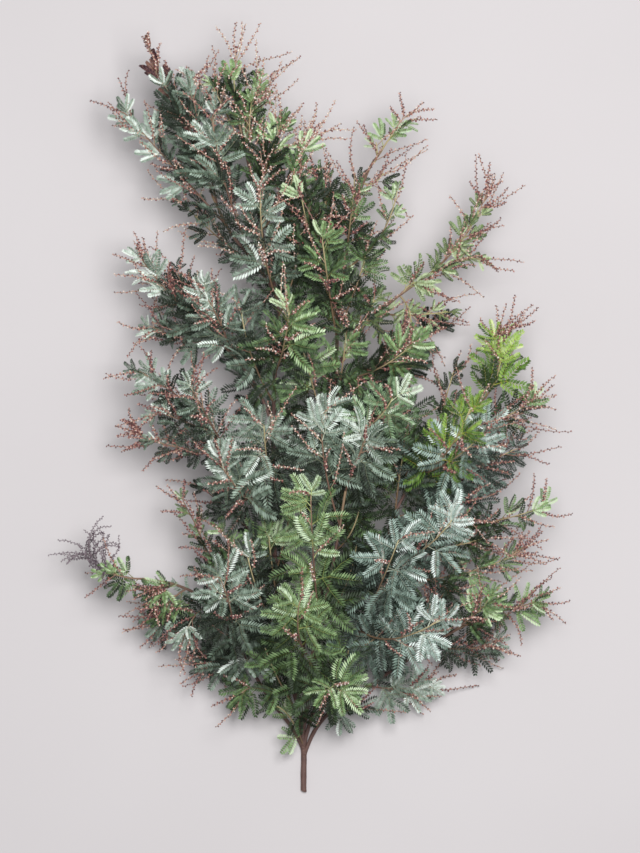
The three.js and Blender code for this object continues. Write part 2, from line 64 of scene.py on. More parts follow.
FORKS = {
    "main": {
        "radius": (3.2, 1.3),
        "points": [
            (-6, -412, 0), (-6, -385, 0), (-6, -362, 0), (-10, -322, 8), (-24, -262, 29), (-34, -185, 56),
            (-38, -95, 82), (-37, -5, 98), (-35, 70, 106), (-33, 118, 108), (-43, 160, 110), (-54, 215, 114),
            (-64, 265, 118), (-75, 312, 120),
        ],
    },
    "top_left": {
        "parent": "main", "at": 9.2, "radius": (1.9, 1.3),
        "points": [(-58, 160, 106), (-82, 190, 108), (-101, 228, 112)],
    },
    "right_top": {
        "parent": "main", "at": 2.6, "radius": (2.5, 1.3),
        "points": [
            (-1, -308, 19), (8, -240, 45), (15, -150, 72), (22, -60, 90), (28, 20, 100), (30, 90, 106),
            (36, 140, 110), (44, 200, 114), (60, 250, 116), (76, 276, 118),
        ],
    },
    "right_upper": {
        "parent": "right_top", "at": 5.4, "radius": (1.7, 1.3),
        "points": [(54, 88, 104), (84, 116, 106), (122, 144, 106)],
    },
    "right_middle": {
        "parent": "main", "at": 2.2, "radius": (2.2, 1.3),
        "points": [
            (5, -318, 12), (22, -282, 34), (44, -250, 62), (68, -190, 90), (84, -120, 106), (108, -72, 114),
            (146, -30, 112), (182, 14, 108),
        ],
    },
    "right_low": {
        "parent": "main", "at": 1.9, "radius": (2.2, 1.3),
        "points": [
            (8, -336, 5), (30, -312, 10), (64, -290, 24), (104, -262, 42), (150, -232, 58), (188, -212, 66),
        ],
    },
    "left_low": {
        "parent": "main", "at": 2.1, "radius": (2.1, 1.3),
        "points": [
            (-20, -334, 6), (-40, -308, 16), (-58, -278, 32), (-84, -232, 52), (-112, -196, 66),
            (-142, -180, 72), (-176, -174, 74),
        ],
    },
    "left_middle": {
        "parent": "main", "at": 5.4, "radius": (1.8, 1.3),
        "points": [(-50, -110, 92), (-66, -76, 102), (-90, -36, 110), (-112, -4, 114)],
    },
    "left_high": {
        "parent": "main", "at": 6.9, "radius": (1.7, 1.3),
        "points": [(-56, 30, 106), (-82, 64, 112), (-110, 92, 114)],
    },
    "front": {
        "parent": "main", "at": 2.9, "radius": (1.9, 1.3),
        "points": [(-4, -290, 46), (4, -250, 86), (16, -200, 122), (28, -140, 146), (38, -80, 156)],
    },
    "under": {
        "parent": "main", "at": 3.3, "radius": (1.9, 1.3),
        "points": [(-6, -250, 15), (0, -170, 21), (0, -80, 26), (-2, 20, 30), (-4, 110, 34)],
    },
}
BARK_SIDES = 14
RINGS_PER_SPAN = 12
BARK_RIPPLE = 0.05
RIPPLE_LENGTHS = (11, 4.3)
STEEP = 0.8
KNUCKLE, KNUCKLE_FADE = 0.5, 12
LYING_HEIGHT = np.cos(np.pi / 8)
YOUNG_WOOD = (-60, 0)
CUT_NORMAL = np.array([0.33, 0.92, 0.2])
CUT_POINT = np.array([-6.0, -404.0, 3.2])


class Body:
    """Parts gathered into one mesh: vertices in millimetres, triangles, and what the material reads. That is
    a place in the grain for each vertex, or a UV place for each corner of each triangle."""

    def __init__(self):
        self.vertices, self.faces, self.marks, self.count = [], [], [], 0

    def add(self, vertices, faces, marks):
        """Adds one part, or many like parts in arrays."""
        self.vertices.append(vertices.reshape(-1, 3))
        self.faces.append(faces.reshape(-1, 3) + self.count)
        self.marks.append(marks.reshape(-1, marks.shape[-1]))
        self.count += len(self.vertices[-1])

    def make(self, name, finish, slot, nodes=(), smooth=True):
        """The finished piece at the origin, kept above the table. It rides on the branch and replaces the
        nodes."""
        vertices = (np.vstack(self.vertices) - CENTRE) * METRES
        vertices[:, 2] = np.maximum(vertices[:, 2], 0)
        faces, marks = np.vstack(self.faces), np.vstack(self.marks)
        mesh = bpy.data.meshes.new(name)
        mesh.from_pydata(vertices, [], faces)
        if marks.shape[1] == 3:
            mesh.attributes.new("Grain", "FLOAT_VECTOR", "POINT").data.foreach_set("vector", marks.ravel())
        else:
            mesh.uv_layers.new(name="OFBake").uv.foreach_set("vector", marks.ravel())
        mesh.polygons.foreach_set("use_smooth", np.full(len(faces), smooth))
        mesh.materials.append(finish)
        piece = bpy.data.objects.new(name, mesh)
        bpy.context.collection.objects.link(piece)
        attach(piece, "root")
        if nodes:
            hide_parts(*nodes)
        return piece


def unit(vectors):
    """The vectors divided by their lengths."""
    return vectors / np.linalg.norm(vectors, axis=-1, keepdims=True)


def smooth_curve(points):
    """The smooth curve through some points, as a function of place: 2.5 is halfway from the third to the
    fourth. Between two points it is the cubic whose slope at each point is half the step between that point's
    neighbours."""
    padded = np.vstack([2 * points[0] - points[1], points, 2 * points[-1] - points[-2]])

    def at(places):
        first = np.clip(np.floor(places).astype(int), 0, len(points) - 2)
        w = (places - first)[:, None]
        before, start, end, after = (padded[first + step] for step in range(4))
        leaving, arriving = (end - before) / 2, (after - start) / 2
        square = 3 * (end - start) - 2 * leaving - arriving
        cube = 2 * (start - end) + leaving + arriving
        return start + leaving * w + square * w**2 + cube * w**3

    return at


def tubes(paths, radii, sides, ripple=0.0):
    """Closed round tubes, one for each path of points. Each ring is a circle square to its path, with the
    ring's own radius times 1 + ripple * sin(3 turn + length / the long ripple) * cos(turn + length / the
    short one). Each end closes in a pole. The place in the grain is the radius times the turn's cosine and
    sine, and how far along it is, with 0 at the tip."""
    count, rings = radii.shape
    ahead = unit(np.gradient(paths, axis=1))
    whole = unit(paths[:, -1] - paths[:, 0])
    aside = np.where(np.abs(whole[:, 2:]) > STEEP, [1.0, 0.0, 0.0], UP)[:, None]
    level = unit(np.cross(ahead, aside))
    upright = np.cross(level, ahead)
    steps = np.linalg.norm(np.diff(paths, axis=1), axis=-1)
    length = np.concatenate([np.zeros((count, 1)), np.cumsum(steps, axis=1)], axis=1)[..., None]
    turn = np.arange(sides) * 2 * np.pi / sides
    long, short = (length / ripple_length for ripple_length in RIPPLE_LENGTHS)
    radius = radii[..., None] * (1 + ripple * np.sin(3 * turn + long) * np.cos(turn + short))
    across, over = radius * np.cos(turn), radius * np.sin(turn)
    walls = paths[:, :, None] + level[:, :, None] * across[..., None] + upright[:, :, None] * over[..., None]
    foot = paths[:, :1] - ahead[:, :1] * radii[:, :1, None] / 2
    tip = paths[:, -1:] + ahead[:, -1:] * radii[:, -1:, None] / 2
    vertices = np.concatenate([walls.reshape(count, -1, 3), foot, tip], axis=1)
    from_tip = length - length[:, -1:]
    grain = np.stack([across, over, np.broadcast_to(from_tip, across.shape)], axis=-1).reshape(count, -1, 3)
    poles = np.zeros((count, 2, 3))
    poles[:, 0, 2] = from_tip[:, 0, 0]
    near = np.arange((rings - 1) * sides).reshape(-1, sides)
    beside = np.roll(near, -1, axis=1)
    quads = [near, near + sides, beside + sides, near, beside + sides, beside]
    first, last = near[0], near[-1] + sides
    caps = [
        np.stack([np.full(sides, rings * sides), first, np.roll(first, -1)], axis=-1),
        np.stack([np.full(sides, rings * sides + 1), np.roll(last, -1), last], axis=-1),
    ]
    faces = np.vstack([np.stack(quads, axis=-1).reshape(-1, 3), *caps])
    faces = faces + (np.arange(count) * vertices.shape[1])[:, None, None]
    return vertices, faces, np.concatenate([grain, poles], axis=1)


class Wire:
    """A node's output in a material. Sums, differences, products and comparisons of wires add their Math
    nodes."""

    def __init__(self, socket):
        self.socket = socket

    def other(self, output):
        """Another output of the same node."""
        return Wire(self.socket.node.outputs[output])

    def math(self, operation, first, second):
        """A Math node on two wires or numbers."""
        node = self.socket.id_data.nodes.new("ShaderNodeMath")
        node.operation = operation
        for value, entry in zip((first, second), node.inputs):
            if isinstance(value, Wire):
                self.socket.id_data.links.new(value.socket, entry)
            else:
                entry.default_value = value
        return Wire(node.outputs[0])

    def __add__(self, other):
        return self.math("ADD", self, other)

    def __sub__(self, other):
        return self.math("SUBTRACT", self, other)

    def __rsub__(self, other):
        return self.math("SUBTRACT", other, self)

    def __mul__(self, other):
        return self.math("MULTIPLY", self, other)

    def __gt__(self, other):
        return self.math("GREATER_THAN", self, other)

    __radd__, __rmul__ = __add__, __mul__


def linear(colour):
    """A colour as red, green, blue and alpha in linear light, from its six hexadecimal digits."""
    shown = np.array([int(colour[k:k + 2], 16) for k in (0, 2, 4)]) / 255
    return (*np.where(shown < 0.04045, shown / 12.92, ((shown + 0.055) / 1.055) ** 2.4), 1.0)


class Finish:
    """A material whose nodes are added one at a time."""

    def __init__(self, name):
        self.material = bpy.data.materials.new(name)
        self.material.use_nodes = True
        self.tree = self.material.node_tree
        self.tree.nodes.clear()

    def node(self, kind, inputs=(), output=0, stops=(), **settings):
        """Adds a node: its settings and its ramp's stops first, then the values or wires of its sockets."""
        node = self.tree.nodes.new("ShaderNode" + kind)
        for name, value in settings.items():
            setattr(node, name, value)
        for place, colour in stops[2:]:
            node.color_ramp.elements.new(place)
        for number, (place, colour) in enumerate(stops):
            node.color_ramp.elements[number].position = place
            node.color_ramp.elements[number].color = linear(colour)
        for name, value in dict(inputs).items():
            if isinstance(value, Wire):
                self.tree.links.new(value.socket, node.inputs[name])
            else:
                node.inputs[name].default_value = value
        return Wire(node.outputs[output]) if node.outputs else None

    def mixed(self, share, first, second):
        """A colour that goes from the first to the second as the share goes from 0 to 1."""
        return self.node("Mix", {0: share, 6: first, 7: second}, output=2, data_type="RGBA")

    def surface(self, sockets):
        """Ends the material in one principled shader with these sockets, and gives the material."""
        self.node("OutputMaterial", {"Surface": self.node("BsdfPrincipled", sockets)})
        return self.material


def bark_finish(name, dark, light, fleck, young):
    """Two browns in streaks along the wood, softly patched, with pale raised flecks three to a centimetre. A
    young colour takes over towards the tip."""
    bark = Finish(name)
    grain = bark.node("Attribute", output=1, attribute_name="Grain")
    along = bark.node("Mapping", {"Vector": grain, "Scale": (1.5, 1.5, 0.09)})
    streak = bark.node("TexNoise", {"Vector": along, "Scale": 1.0, "Detail": 4.0, "Roughness": 0.6})
    patch = bark.node("TexNoise", {"Vector": grain, "Scale": 0.06, "Detail": 2.0})
    spots = bark.node("Mapping", {"Vector": grain, "Scale": (1.0, 1.0, 0.45)})
    spot = bark.node("TexVoronoi", {"Vector": spots, "Scale": 0.7})
    flecks = bark.node("MapRange", {
        "Value": spot, "From Min": 0.12, "From Max": 0.22, "To Min": 1.0, "To Max": 0.0,
    })
    wood = bark.mixed(streak * 0.8 + patch * 0.8 - 0.3, linear(dark), linear(light))
    length = bark.node("SeparateXYZ", {"Vector": grain}, output=2)
    youth = bark.node("MapRange", {"Value": length, "From Min": YOUNG_WOOD[0], "From Max": YOUNG_WOOD[1]})
    wood = bark.mixed(youth, wood, linear(young))
    height = streak * 0.8 + flecks * 0.6
    return bark.surface({
        "Base Color": bark.mixed(flecks * 0.45, wood, linear(fleck)),
        "Roughness": streak * 0.25 + 0.55,
        "Normal": bark.node("Bump", {"Height": height, "Strength": 0.4, "Distance": 0.0002}),
    })


forks = {}
stem = Body()
for name, fork in FORKS.items():
    points = np.array(fork["points"], float)
    if "parent" in fork:
        points = np.vstack([forks[fork["parent"]](np.array([fork["at"]])), points])
    else:
        points[:, 2] += LYING_HEIGHT * np.linspace(*fork["radius"], len(points))
    spans = len(points) - 1
    forks[name] = smooth_curve(points)
    places = np.linspace(0, spans, RINGS_PER_SPAN * spans + 1)
    radius = np.interp(places, [0, spans], fork["radius"])
    if "parent" in fork:
        radius *= 1 + KNUCKLE * np.exp(-KNUCKLE_FADE * places)
    vertices, faces, grain = tubes(forks[name](places)[None], radius[None], BARK_SIDES, BARK_RIPPLE)
    if "parent" not in fork:
        short = (vertices - CUT_POINT) @ CUT_NORMAL
        vertices[..., 1] -= np.minimum(short, 0) / CUT_NORMAL[1]
    stem.add(vertices, faces, grain)
stem.make("stem_bark", bark_finish("Stem_bark", "3f2c2c", "7b5c52", "a08676", "8a7458"), "bark", ["stem"])

# The cut across the foot was made with one stroke of the secateurs. It shows pale pinkish wood inside the
# bark, with a darker pith, and has dried a little. It is a disc that is slightly domed and waved.
CUT_RADIUS = 2.8
CUT_MIDDLE_HEIGHT = 2.98
CUT_RINGS, CUT_SIDES = 6, 24
CUT_DEPTH = 0.5
CUT_PROUD, CUT_DOME, CUT_WAVE = 0.05, 0.1, 0.04
reach = np.concatenate([[0], np.repeat(np.linspace(1 / CUT_RINGS, 1, CUT_RINGS), CUT_SIDES)])
turn = np.concatenate([[0], np.tile(np.arange(CUT_SIDES) * 2 * np.pi / CUT_SIDES, CUT_RINGS)])
across, over = reach * np.cos(turn), reach * np.sin(turn)
proud = CUT_PROUD + CUT_DOME * (1 - reach**4) + CUT_WAVE * np.sin(5 * turn) * reach
aside, above = CUT_RADIUS * across, CUT_MIDDLE_HEIGHT + CUT_RADIUS * over - CUT_POINT[2]
slant = (aside * CUT_NORMAL[0] + above * CUT_NORMAL[2]) / CUT_NORMAL[1]
face = CUT_POINT + np.stack([aside, -slant - proud, above], axis=-1)
back = face[-CUT_SIDES:] + [0, CUT_DEPTH, 0]
heart = back.mean(axis=0, keepdims=True)
near = 1 + np.arange(CUT_RINGS * CUT_SIDES).reshape(-1, CUT_SIDES)
beside = np.roll(near, -1, axis=1)
quads = [near, near + CUT_SIDES, beside + CUT_SIDES, near, beside + CUT_SIDES, beside]
fan = [0 * near[0], near[0], beside[0]]
lid = [near[-1] + CUT_SIDES, np.full(CUT_SIDES, (CUT_RINGS + 1) * CUT_SIDES + 1), beside[-1] + CUT_SIDES]
faces = np.vstack([np.stack(part, axis=-1).reshape(-1, 3) for part in (fan, quads, lid)])
grain = np.stack([across, over, 0 * across], axis=-1)
cut = Body()
cut.add(np.vstack([face, back, heart]), faces, np.vstack([grain, grain[-CUT_SIDES:], [[0, 0, 0]]]))
wood = Finish("Cut_wood")
grain = wood.node("Attribute", output=1, attribute_name="Grain")
out = wood.node("VectorMath", {0: grain}, output=1, operation="LENGTH")
fibre = wood.node("TexNoise", {"Vector": grain, "Scale": 7.0, "Detail": 4.0})
rings = out + fibre * 0.16 - 0.08
cut.make("cut_face", wood.surface({
    "Base Color": wood.node("ValToRGB", {"Fac": rings}, stops=[
        (0.0, "70503e"), (0.16, "b9927a"), (0.78, "c6a188"), (1.0, "8a6552"),
    ]),
    "Roughness": 0.8 + fibre * 0.15,
    "Normal": wood.node("Bump", {"Height": fibre, "Strength": 0.3, "Distance": 0.0002}),
}), "bark")

# Each fork carries leafy shoots: twigs two millimetres thick at the foot, their smooth bark purple-brown, or
# straw-coloured in the sun. Two low ones dip to the table and carry the branch. A row gives the fork, the
# place on it, the bend, the tip, the leaves, the racemes, the tone and how far the leaves face up.
SHOOTS = {
    "top_left_tip": ("top_left", 3, (-122, 298, 120), (-167, 382, 112), 12, 4, "grey", 0.35),
    "top_left_outer": ("top_left", 2.2, (-145, 262, 118), (-192, 314, 116), 11, 5, "grey", 0.35),
    "top_left_front": ("top_left", 0.9, (-92, 232, 165), (-100, 306, 176), 10, 4, "grey", 0.5),
    "top_tip": ("main", 13, (-78, 330, 122), (-78, 352, 120), 6, 0, "green", 0.3),
    "top_inner": ("main", 10.6, (-24, 216, 132), (-8, 272, 132), 9, 3, "green", 0.3),
    "top_front": ("main", 9, (-50, 160, 176), (-50, 228, 194), 10, 5, "grey", 0.5),
    "top_left_edge": ("main", 9.7, (-88, 172, 96), (-134, 224, 84), 9, 4, "grey", 0.3),
    "top_centre": ("right_top", 6.1, (2, 172, 136), (-8, 226, 152), 10, 4, "green", 0.35),
    "top_centre_front": ("right_top", 5.8, (20, 130, 176), (14, 178, 196), 9, 3, "green", 0.45),
    "right_top_tip": ("right_top", 10, (84, 288, 119), (92, 300, 120), 5, 0, "bright", 0.3),
    "right_top_side": ("right_top", 7.2, (82, 176, 128), (92, 232, 136), 9, 4, "green", 0.4),
    "right_top_front": ("right_top", 7.4, (42, 190, 168), (46, 226, 184), 9, 4, "green", 0.4),
    "right_upper_tip": ("right_upper", 3, (160, 172, 106), (178, 212, 110), 12, 5, "green", 0.3),
    "right_upper_low": ("right_upper", 1.6, (110, 102, 88), (146, 108, 82), 8, 4, "green", 0.3),
    "right_inner": ("right_top", 5.2, (74, 40, 138), (104, 70, 150), 10, 4, "green", 0.4),
    "right_inner_front": ("right_top", 4.6, (62, -30, 176), (86, 16, 200), 11, 3, "grey", 0.6),
    "right_middle_tip": ("right_middle", 8, (206, 42, 110), (198, 74, 114), 9, 2, "bright", 0.4),
    "right_middle_out": ("right_middle", 7.3, (196, -12, 130), (234, 14, 136), 9, 5, "green", 0.4),
    "right_middle_front": ("right_middle", 6.2, (146, -56, 168), (180, -20, 184), 10, 4, "grey", 0.6),
    "right_middle_inner": ("right_middle", 6.6, (136, -6, 96), (152, 44, 92), 9, 3, "green", 0.35),
    "right_out": ("right_middle", 4.9, (170, -124, 112), (244, -98, 112), 12, 4, "green", 0.4),
    "right_out_low": ("right_middle", 4.2, (150, -178, 96), (208, -152, 92), 11, 6, "green", 0.4),
    "right_low_tip": ("right_low", 6, (218, -206, 66), (240, -198, 70), 8, 3, "green", 0.4),
    "right_low_under": ("right_low", 4.6, (156, -256, 40), (194, -244, 36), 9, 4, "grey", 0.5),
    "right_bottom": ("right_low", 3, (92, -296, 26), (128, -290, 26), 8, 3, "grey", 0.5),
    "right_front": ("right_middle", 4.4, (120, -150, 170), (148, -108, 192), 11, 3, "grey", 0.7),
    "right_front_low": ("right_middle", 3.4, (84, -248, 136), (136, -214, 150), 11, 4, "grey", 0.7),
    "right_front_inner": ("right_middle", 3.8, (70, -190, 160), (92, -130, 200), 11, 2, "grey", 0.7),
    "centre_green": ("front", 2.6, (4, -160, 184), (2, -84, 206), 12, 2, "bright", 0.7),
    "centre_green_low": ("front", 1.8, (-16, -240, 146), (-10, -196, 184), 10, 2, "bright", 0.7),
    "centre_low": ("front", 1.4, (30, -296, 96), (26, -282, 130), 7, 2, "green", 0.6),
    "centre_front": ("front", 5, (48, -52, 176), (58, -26, 200), 9, 3, "grey", 0.6),
    "centre_grey": ("main", 6.2, (-44, -60, 168), (-46, -12, 200), 11, 4, "grey", 0.65),
    "centre_right": ("front", 4.4, (10, -50, 180), (14, 0, 194), 9, 3, "grey", 0.6),
    "centre_high": ("main", 7.6, (-26, 60, 168), (-20, 104, 190), 10, 4, "green", 0.5),
    "left_high_tip": ("left_high", 3, (-146, 122, 116), (-174, 160, 114), 11, 5, "grey", 0.35),
    "left_high_low": ("left_high", 2.3, (-128, 74, 96), (-166, 92, 90), 9, 4, "grey", 0.3),
    "left_high_front": ("left_high", 2, (-88, 92, 150), (-110, 128, 166), 9, 4, "grey", 0.45),
    "left_middle_tip": ("left_middle", 4, (-142, 26, 118), (-176, 44, 124), 10, 5, "grey", 0.35),
    "left_middle_out": ("left_middle", 2.9, (-126, -40, 104), (-166, -28, 98), 9, 7, "grey", 0.35),
    "left_middle_front": ("left_middle", 2.4, (-96, -20, 160), (-122, 28, 176), 10, 5, "grey", 0.5),
    "left_inner_front": ("left_middle", 1.4, (-68, -90, 160), (-90, -54, 176), 9, 4, "grey", 0.5),
    "left_small": ("left_low", 4.2, (-100, -146, 92), (-132, -92, 104), 10, 6, "green", 0.4),
    "left_low_tip": ("left_low", 7, (-194, -174, 76), (-208, -168, 78), 6, 3, "green", 0.3),
    "left_low_out": ("left_low", 5.2, (-140, -214, 54), (-158, -222, 44), 9, 5, "grey", 0.4),
    "left_bottom": ("left_low", 3.4, (-86, -262, 34), (-106, -264, 32), 8, 3, "grey", 0.5),
    "left_front": ("left_low", 4, (-74, -216, 136), (-92, -170, 156), 11, 4, "grey", 0.6),
    "under_left": ("under", 3.2, (-80, 62), (-130, 128, 30), 9, 1, "grey", 0.2),
    "under_right": ("under", 3, (88, 44), (138, 100, 30), 9, 1, "grey", 0.2),
    "under_low_left": ("under", 1.8, (-54, -130, 16), (-112, -80, 28), 9, 1, "grey", 0.2),
    "under_low_right": ("under", 1.6, (66, -172, 16), (134, -124, 28), 9, 1, "grey", 0.2),
}
# More shoots of the same kind, with no solid of their own, in the body of the branch and along its limbs.
INNER_SHOOTS = {
    "foot_left": ("main", 3.0, (-34, -284, 70), (-46, -246, 96), 9, 0, "green", 0.5),
    "foot_right": ("right_top", 1.2, (34, -290, 70), (42, -246, 96), 9, 0, "green", 0.5),
    "belly_left": ("main", 4.3, (-52, -204, 104), (-64, -150, 118), 9, 1, "grey", 0.5),
    "belly_right": ("right_top", 2.1, (42, -190, 110), (50, -136, 118), 9, 0, "green", 0.5),
    "waist_left": ("main", 5.2, (-16, -100, 116), (-10, -44, 124), 9, 0, "grey", 0.5),
    "waist_right": ("right_top", 3.4, (52, -60, 120), (58, -8, 124), 9, 1, "green", 0.5),
    "breast": ("right_top", 4.3, (6, 20, 130), (-6, 66, 134), 9, 1, "green", 0.5),
    "shoulder_left": ("main", 7.2, (-64, 56, 128), (-70, 104, 132), 9, 1, "grey", 0.5),
    "shoulder_right": ("right_top", 5.9, (54, 140, 124), (62, 176, 128), 8, 1, "green", 0.5),
    "neck": ("main", 8.6, (-12, 140, 128), (-10, 186, 132), 9, 1, "green", 0.5),
    "side_right": ("right_middle", 5.3, (92, -80, 132), (100, -28, 136), 9, 1, "green", 0.5),
    "side_low": ("right_middle", 3.1, (66, -250, 88), (92, -206, 98), 9, 1, "grey", 0.5),
    "side_left": ("left_low", 3.2, (-66, -250, 80), (-72, -206, 96), 9, 1, "grey", 0.5),
    "crown": ("main", 11.2, (-44, 256, 132), (-30, 300, 136), 10, 6, "green", 0.3),
    "crown_left": ("top_left", 2.7, (-112, 290, 130), (-124, 344, 134), 8, 3, "grey", 0.35),
    "breast_right": ("right_top", 4.7, (36, 48, 124), (40, 96, 128), 8, 3, "green", 0.45),
    "bough_foot": ("right_upper", 0.8, (64, 98, 114), (68, 120, 116), 5, 3, "green", 0.35),
    "spire_left": ("right_top", 8.4, (46, 232, 118), (48, 250, 120), 1, 4, "green", 0.35),
    "spire_right": ("right_top", 8.8, (68, 236, 116), (78, 252, 118), 1, 5, "green", 0.35),
    "spire_high": ("right_top", 9.4, (74, 266, 119), (70, 284, 120), 1, 4, "green", 0.35),
    "bough_above": ("right_upper", 2.4, (108, 142, 112), (118, 136, 114), 5, 2, "green", 0.35),
    "bough_below": ("right_upper", 2.3, (108, 112, 100), (107, 94, 96), 2, 4, "green", 0.35),
    "bough_beyond": ("right_upper", 3, (150, 158, 108), (176, 166, 110), 3, 3, "green", 0.35),
    "peak_left": ("main", 12.2, (-88, 316, 122), (-100, 342, 124), 6, 4, "green", 0.35),
    "peak_right": ("main", 12.4, (-62, 316, 124), (-50, 346, 126), 6, 4, "green", 0.35),
    "peak_front": ("main", 11.6, (-64, 290, 136), (-60, 322, 142), 7, 3, "green", 0.4),
    "gap_right": ("right_middle", 5.8, (168, -62, 124), (212, -38, 126), 9, 5, "grey", 0.5),
    "arm_below": ("left_low", 5.6, (-150, -196, 76), (-156, -214, 72), 5, 4, "green", 0.35),
    "arm_above": ("left_low", 6.0, (-152, -184, 84), (-162, -190, 86), 5, 4, "green", 0.35),
    "arm_foot": ("left_low", 4.8, (-124, -210, 84), (-132, -236, 84), 6, 4, "grey", 0.4),
    "gap_low": ("right_low", 5.0, (172, -214, 84), (188, -198, 96), 7, 3, "green", 0.4),
    "gap_middle": ("right_middle", 5.7, (106, -34, 124), (102, 10, 130), 8, 2, "green", 0.5),
    "gap_bright": ("right_middle", 6.2, (144, -52, 180), (166, 6, 198), 9, 2, "bright", 0.5),
    "bough_hanging": ("right_upper", 1.4, (76, 92, 102), (84, 76, 98), 2, 3, "green", 0.35),
    "neck_high": ("right_top", 7.4, (20, 206, 122), (10, 246, 126), 8, 3, "green", 0.4),
    "waist_low": ("right_top", 3.0, (46, -140, 116), (54, -92, 122), 9, 0, "green", 0.55),
    "gap_side": ("right_middle", 4.6, (150, -142, 112), (182, -130, 118), 8, 3, "green", 0.4),
    "gap_left": ("left_middle", 3.4, (-126, -8, 112), (-158, 2, 116), 7, 3, "grey", 0.4),
    "gap_high": ("left_high", 2.6, (-118, 112, 114), (-138, 146, 118), 7, 3, "grey", 0.4),
    "gap_belly": ("left_low", 3.6, (-84, -170, 90), (-86, -124, 98), 8, 2, "green", 0.4),
    "gap_heart": ("main", 4.4, (-40, -160, 96), (-42, -128, 104), 7, 0, "green", 0.5),
    "gap_base": ("right_low", 4.0, (122, -214, 80), (144, -186, 90), 8, 2, "grey", 0.5),
    "tip_front": ("top_left", 3, (-118, 300, 124), (-160, 356, 122), 9, 1, "grey", 0.35),
    "gap_out": ("right_middle", 5.2, (140, -96, 118), (182, -88, 122), 8, 3, "grey", 0.5),
    "gap_foot": ("left_low", 2.4, (-60, -284, 50), (-74, -298, 52), 5, 1, "green", 0.45),
    "foot_low_left": ("main", 2.2, (-18, -318, 40), (-34, -310, 52), 4, 0, "green", 0.5),
    "foot_low_right": ("right_low", 1.6, (38, -318, 40), (52, -310, 50), 5, 1, "grey", 0.5),
}
FIRST_INNER = 60
TWIG_RADIUS = (1.15, 0.55)
TWIG_SIDES, TWIG_RINGS = 7, 17
TWIG_RIPPLE = 0.04
REST_HEIGHT = 0.2
HEADING_STEP = 0.01
SUNNY_FORKS = ("main", "right_top", "right_upper", "right_middle")


def bend_curve(start, bend, end):
    """The plain bend from a point past a second to a third: at w, (1 - w)^2 start + 2 w (1 - w) bend + w^2
    end."""
    def at(w):
        w = np.asarray(w, float)[..., None]
        return (1 - w) ** 2 * start + 2 * w * (1 - w) * bend + w**2 * end

    return at


shoots = {}
twigs = {}
rows = [*enumerate(SHOOTS.items()), *enumerate(INNER_SHOOTS.items(), FIRST_INNER)]
for order, (name, (fork, place, bend, tip, leaf_count, racemes, tone, face)) in rows:
    start, tip = forks[fork](np.array([place]))[0], np.array(tip, float)
    if len(bend) == 2:
        # The bend's height at which the twig's lowest point lies on the table.
        bend = (*bend, REST_HEIGHT - np.sqrt((start[2] - REST_HEIGHT) * (tip[2] - REST_HEIGHT)))
    curve = bend_curve(start, np.array(bend, float), tip)
    shoots[name] = {
        "order": order, "fork": fork, "curve": curve, "leaves": leaf_count, "racemes": racemes, "tone": tone,
        "face": face,
    }
    places = np.linspace(0, 1, TWIG_RINGS)
    path, radius = curve(places), np.interp(places, [0, 1], TWIG_RADIUS)
    path[:, 2] = np.maximum(path[:, 2], radius)
    twigs.setdefault(fork, Body()).add(*tubes(path[None], radius[None], TWIG_SIDES, TWIG_RIPPLE))
shade_bark = bark_finish("Shade_twig", "4d3534", "8a6a55", "b19a7f", "947a64")
sun_bark = bark_finish("Sun_twig", "5a4338", "957a5c", "b8a784", "c0b488")
for fork, body in twigs.items():
    body.make(f"twigs_{fork}", sun_bark if fork in SUNNY_FORKS else shade_bark, "bark")

# A leaf is a ferny frond: a slim stalk and rachis with two pairs of ribs, the pinnae, each set on both sides
# with eight to twelve small leaflets. Leaves stand round the twig by the golden angle and lean forward
# towards its tip. They are waxy, blue-green to silvery and paler below, and wine-brown while they are young.
GOLDEN_ANGLE = 2.39996
LEAF_SEED, BETWEEN_SEED, LEAF_DRAWS = 1000, 500, 29
LEAFLET_SEED, LEAFLET_SEEDS = 7, 1e6
FIRST_LEAF, BETWEEN_STEP = 0.6, 3
LEAF_TURN, TURN_VARIETY = 1.7, 0.6
LEAF_LEAN, LEAN_VARIETY = (1.15, 0.65), 0.3
CLASPING_LEAN, COMB_LEAN = 0.72, 0.28
PINNA_LENGTH = 31
LEAST_SIZE, SIZE_VARIETY, TIP_SHRINK = 0.8, 0.26, 0.4
STALK_LENGTH = (5, 10)
LEVEL_LEAF_HEIGHT = 45
FLOOR_CLEARANCE, LEAF_REACH = 4, 1.5
COMB_LEVEL = 0.75
ROLL_VARIETY = 0.9
PINNA_RISE, PINNA_BOW, PINNA_DROOP = 0.1, 0.22, (0.2, 0.4)
CLASPING_SPREAD, COMB_SPREAD, SPREAD_VARIETY = 0.6, 0.4, 0.3
LENGTH_VARIETY, TILT_VARIETY = 0.24, 0.4
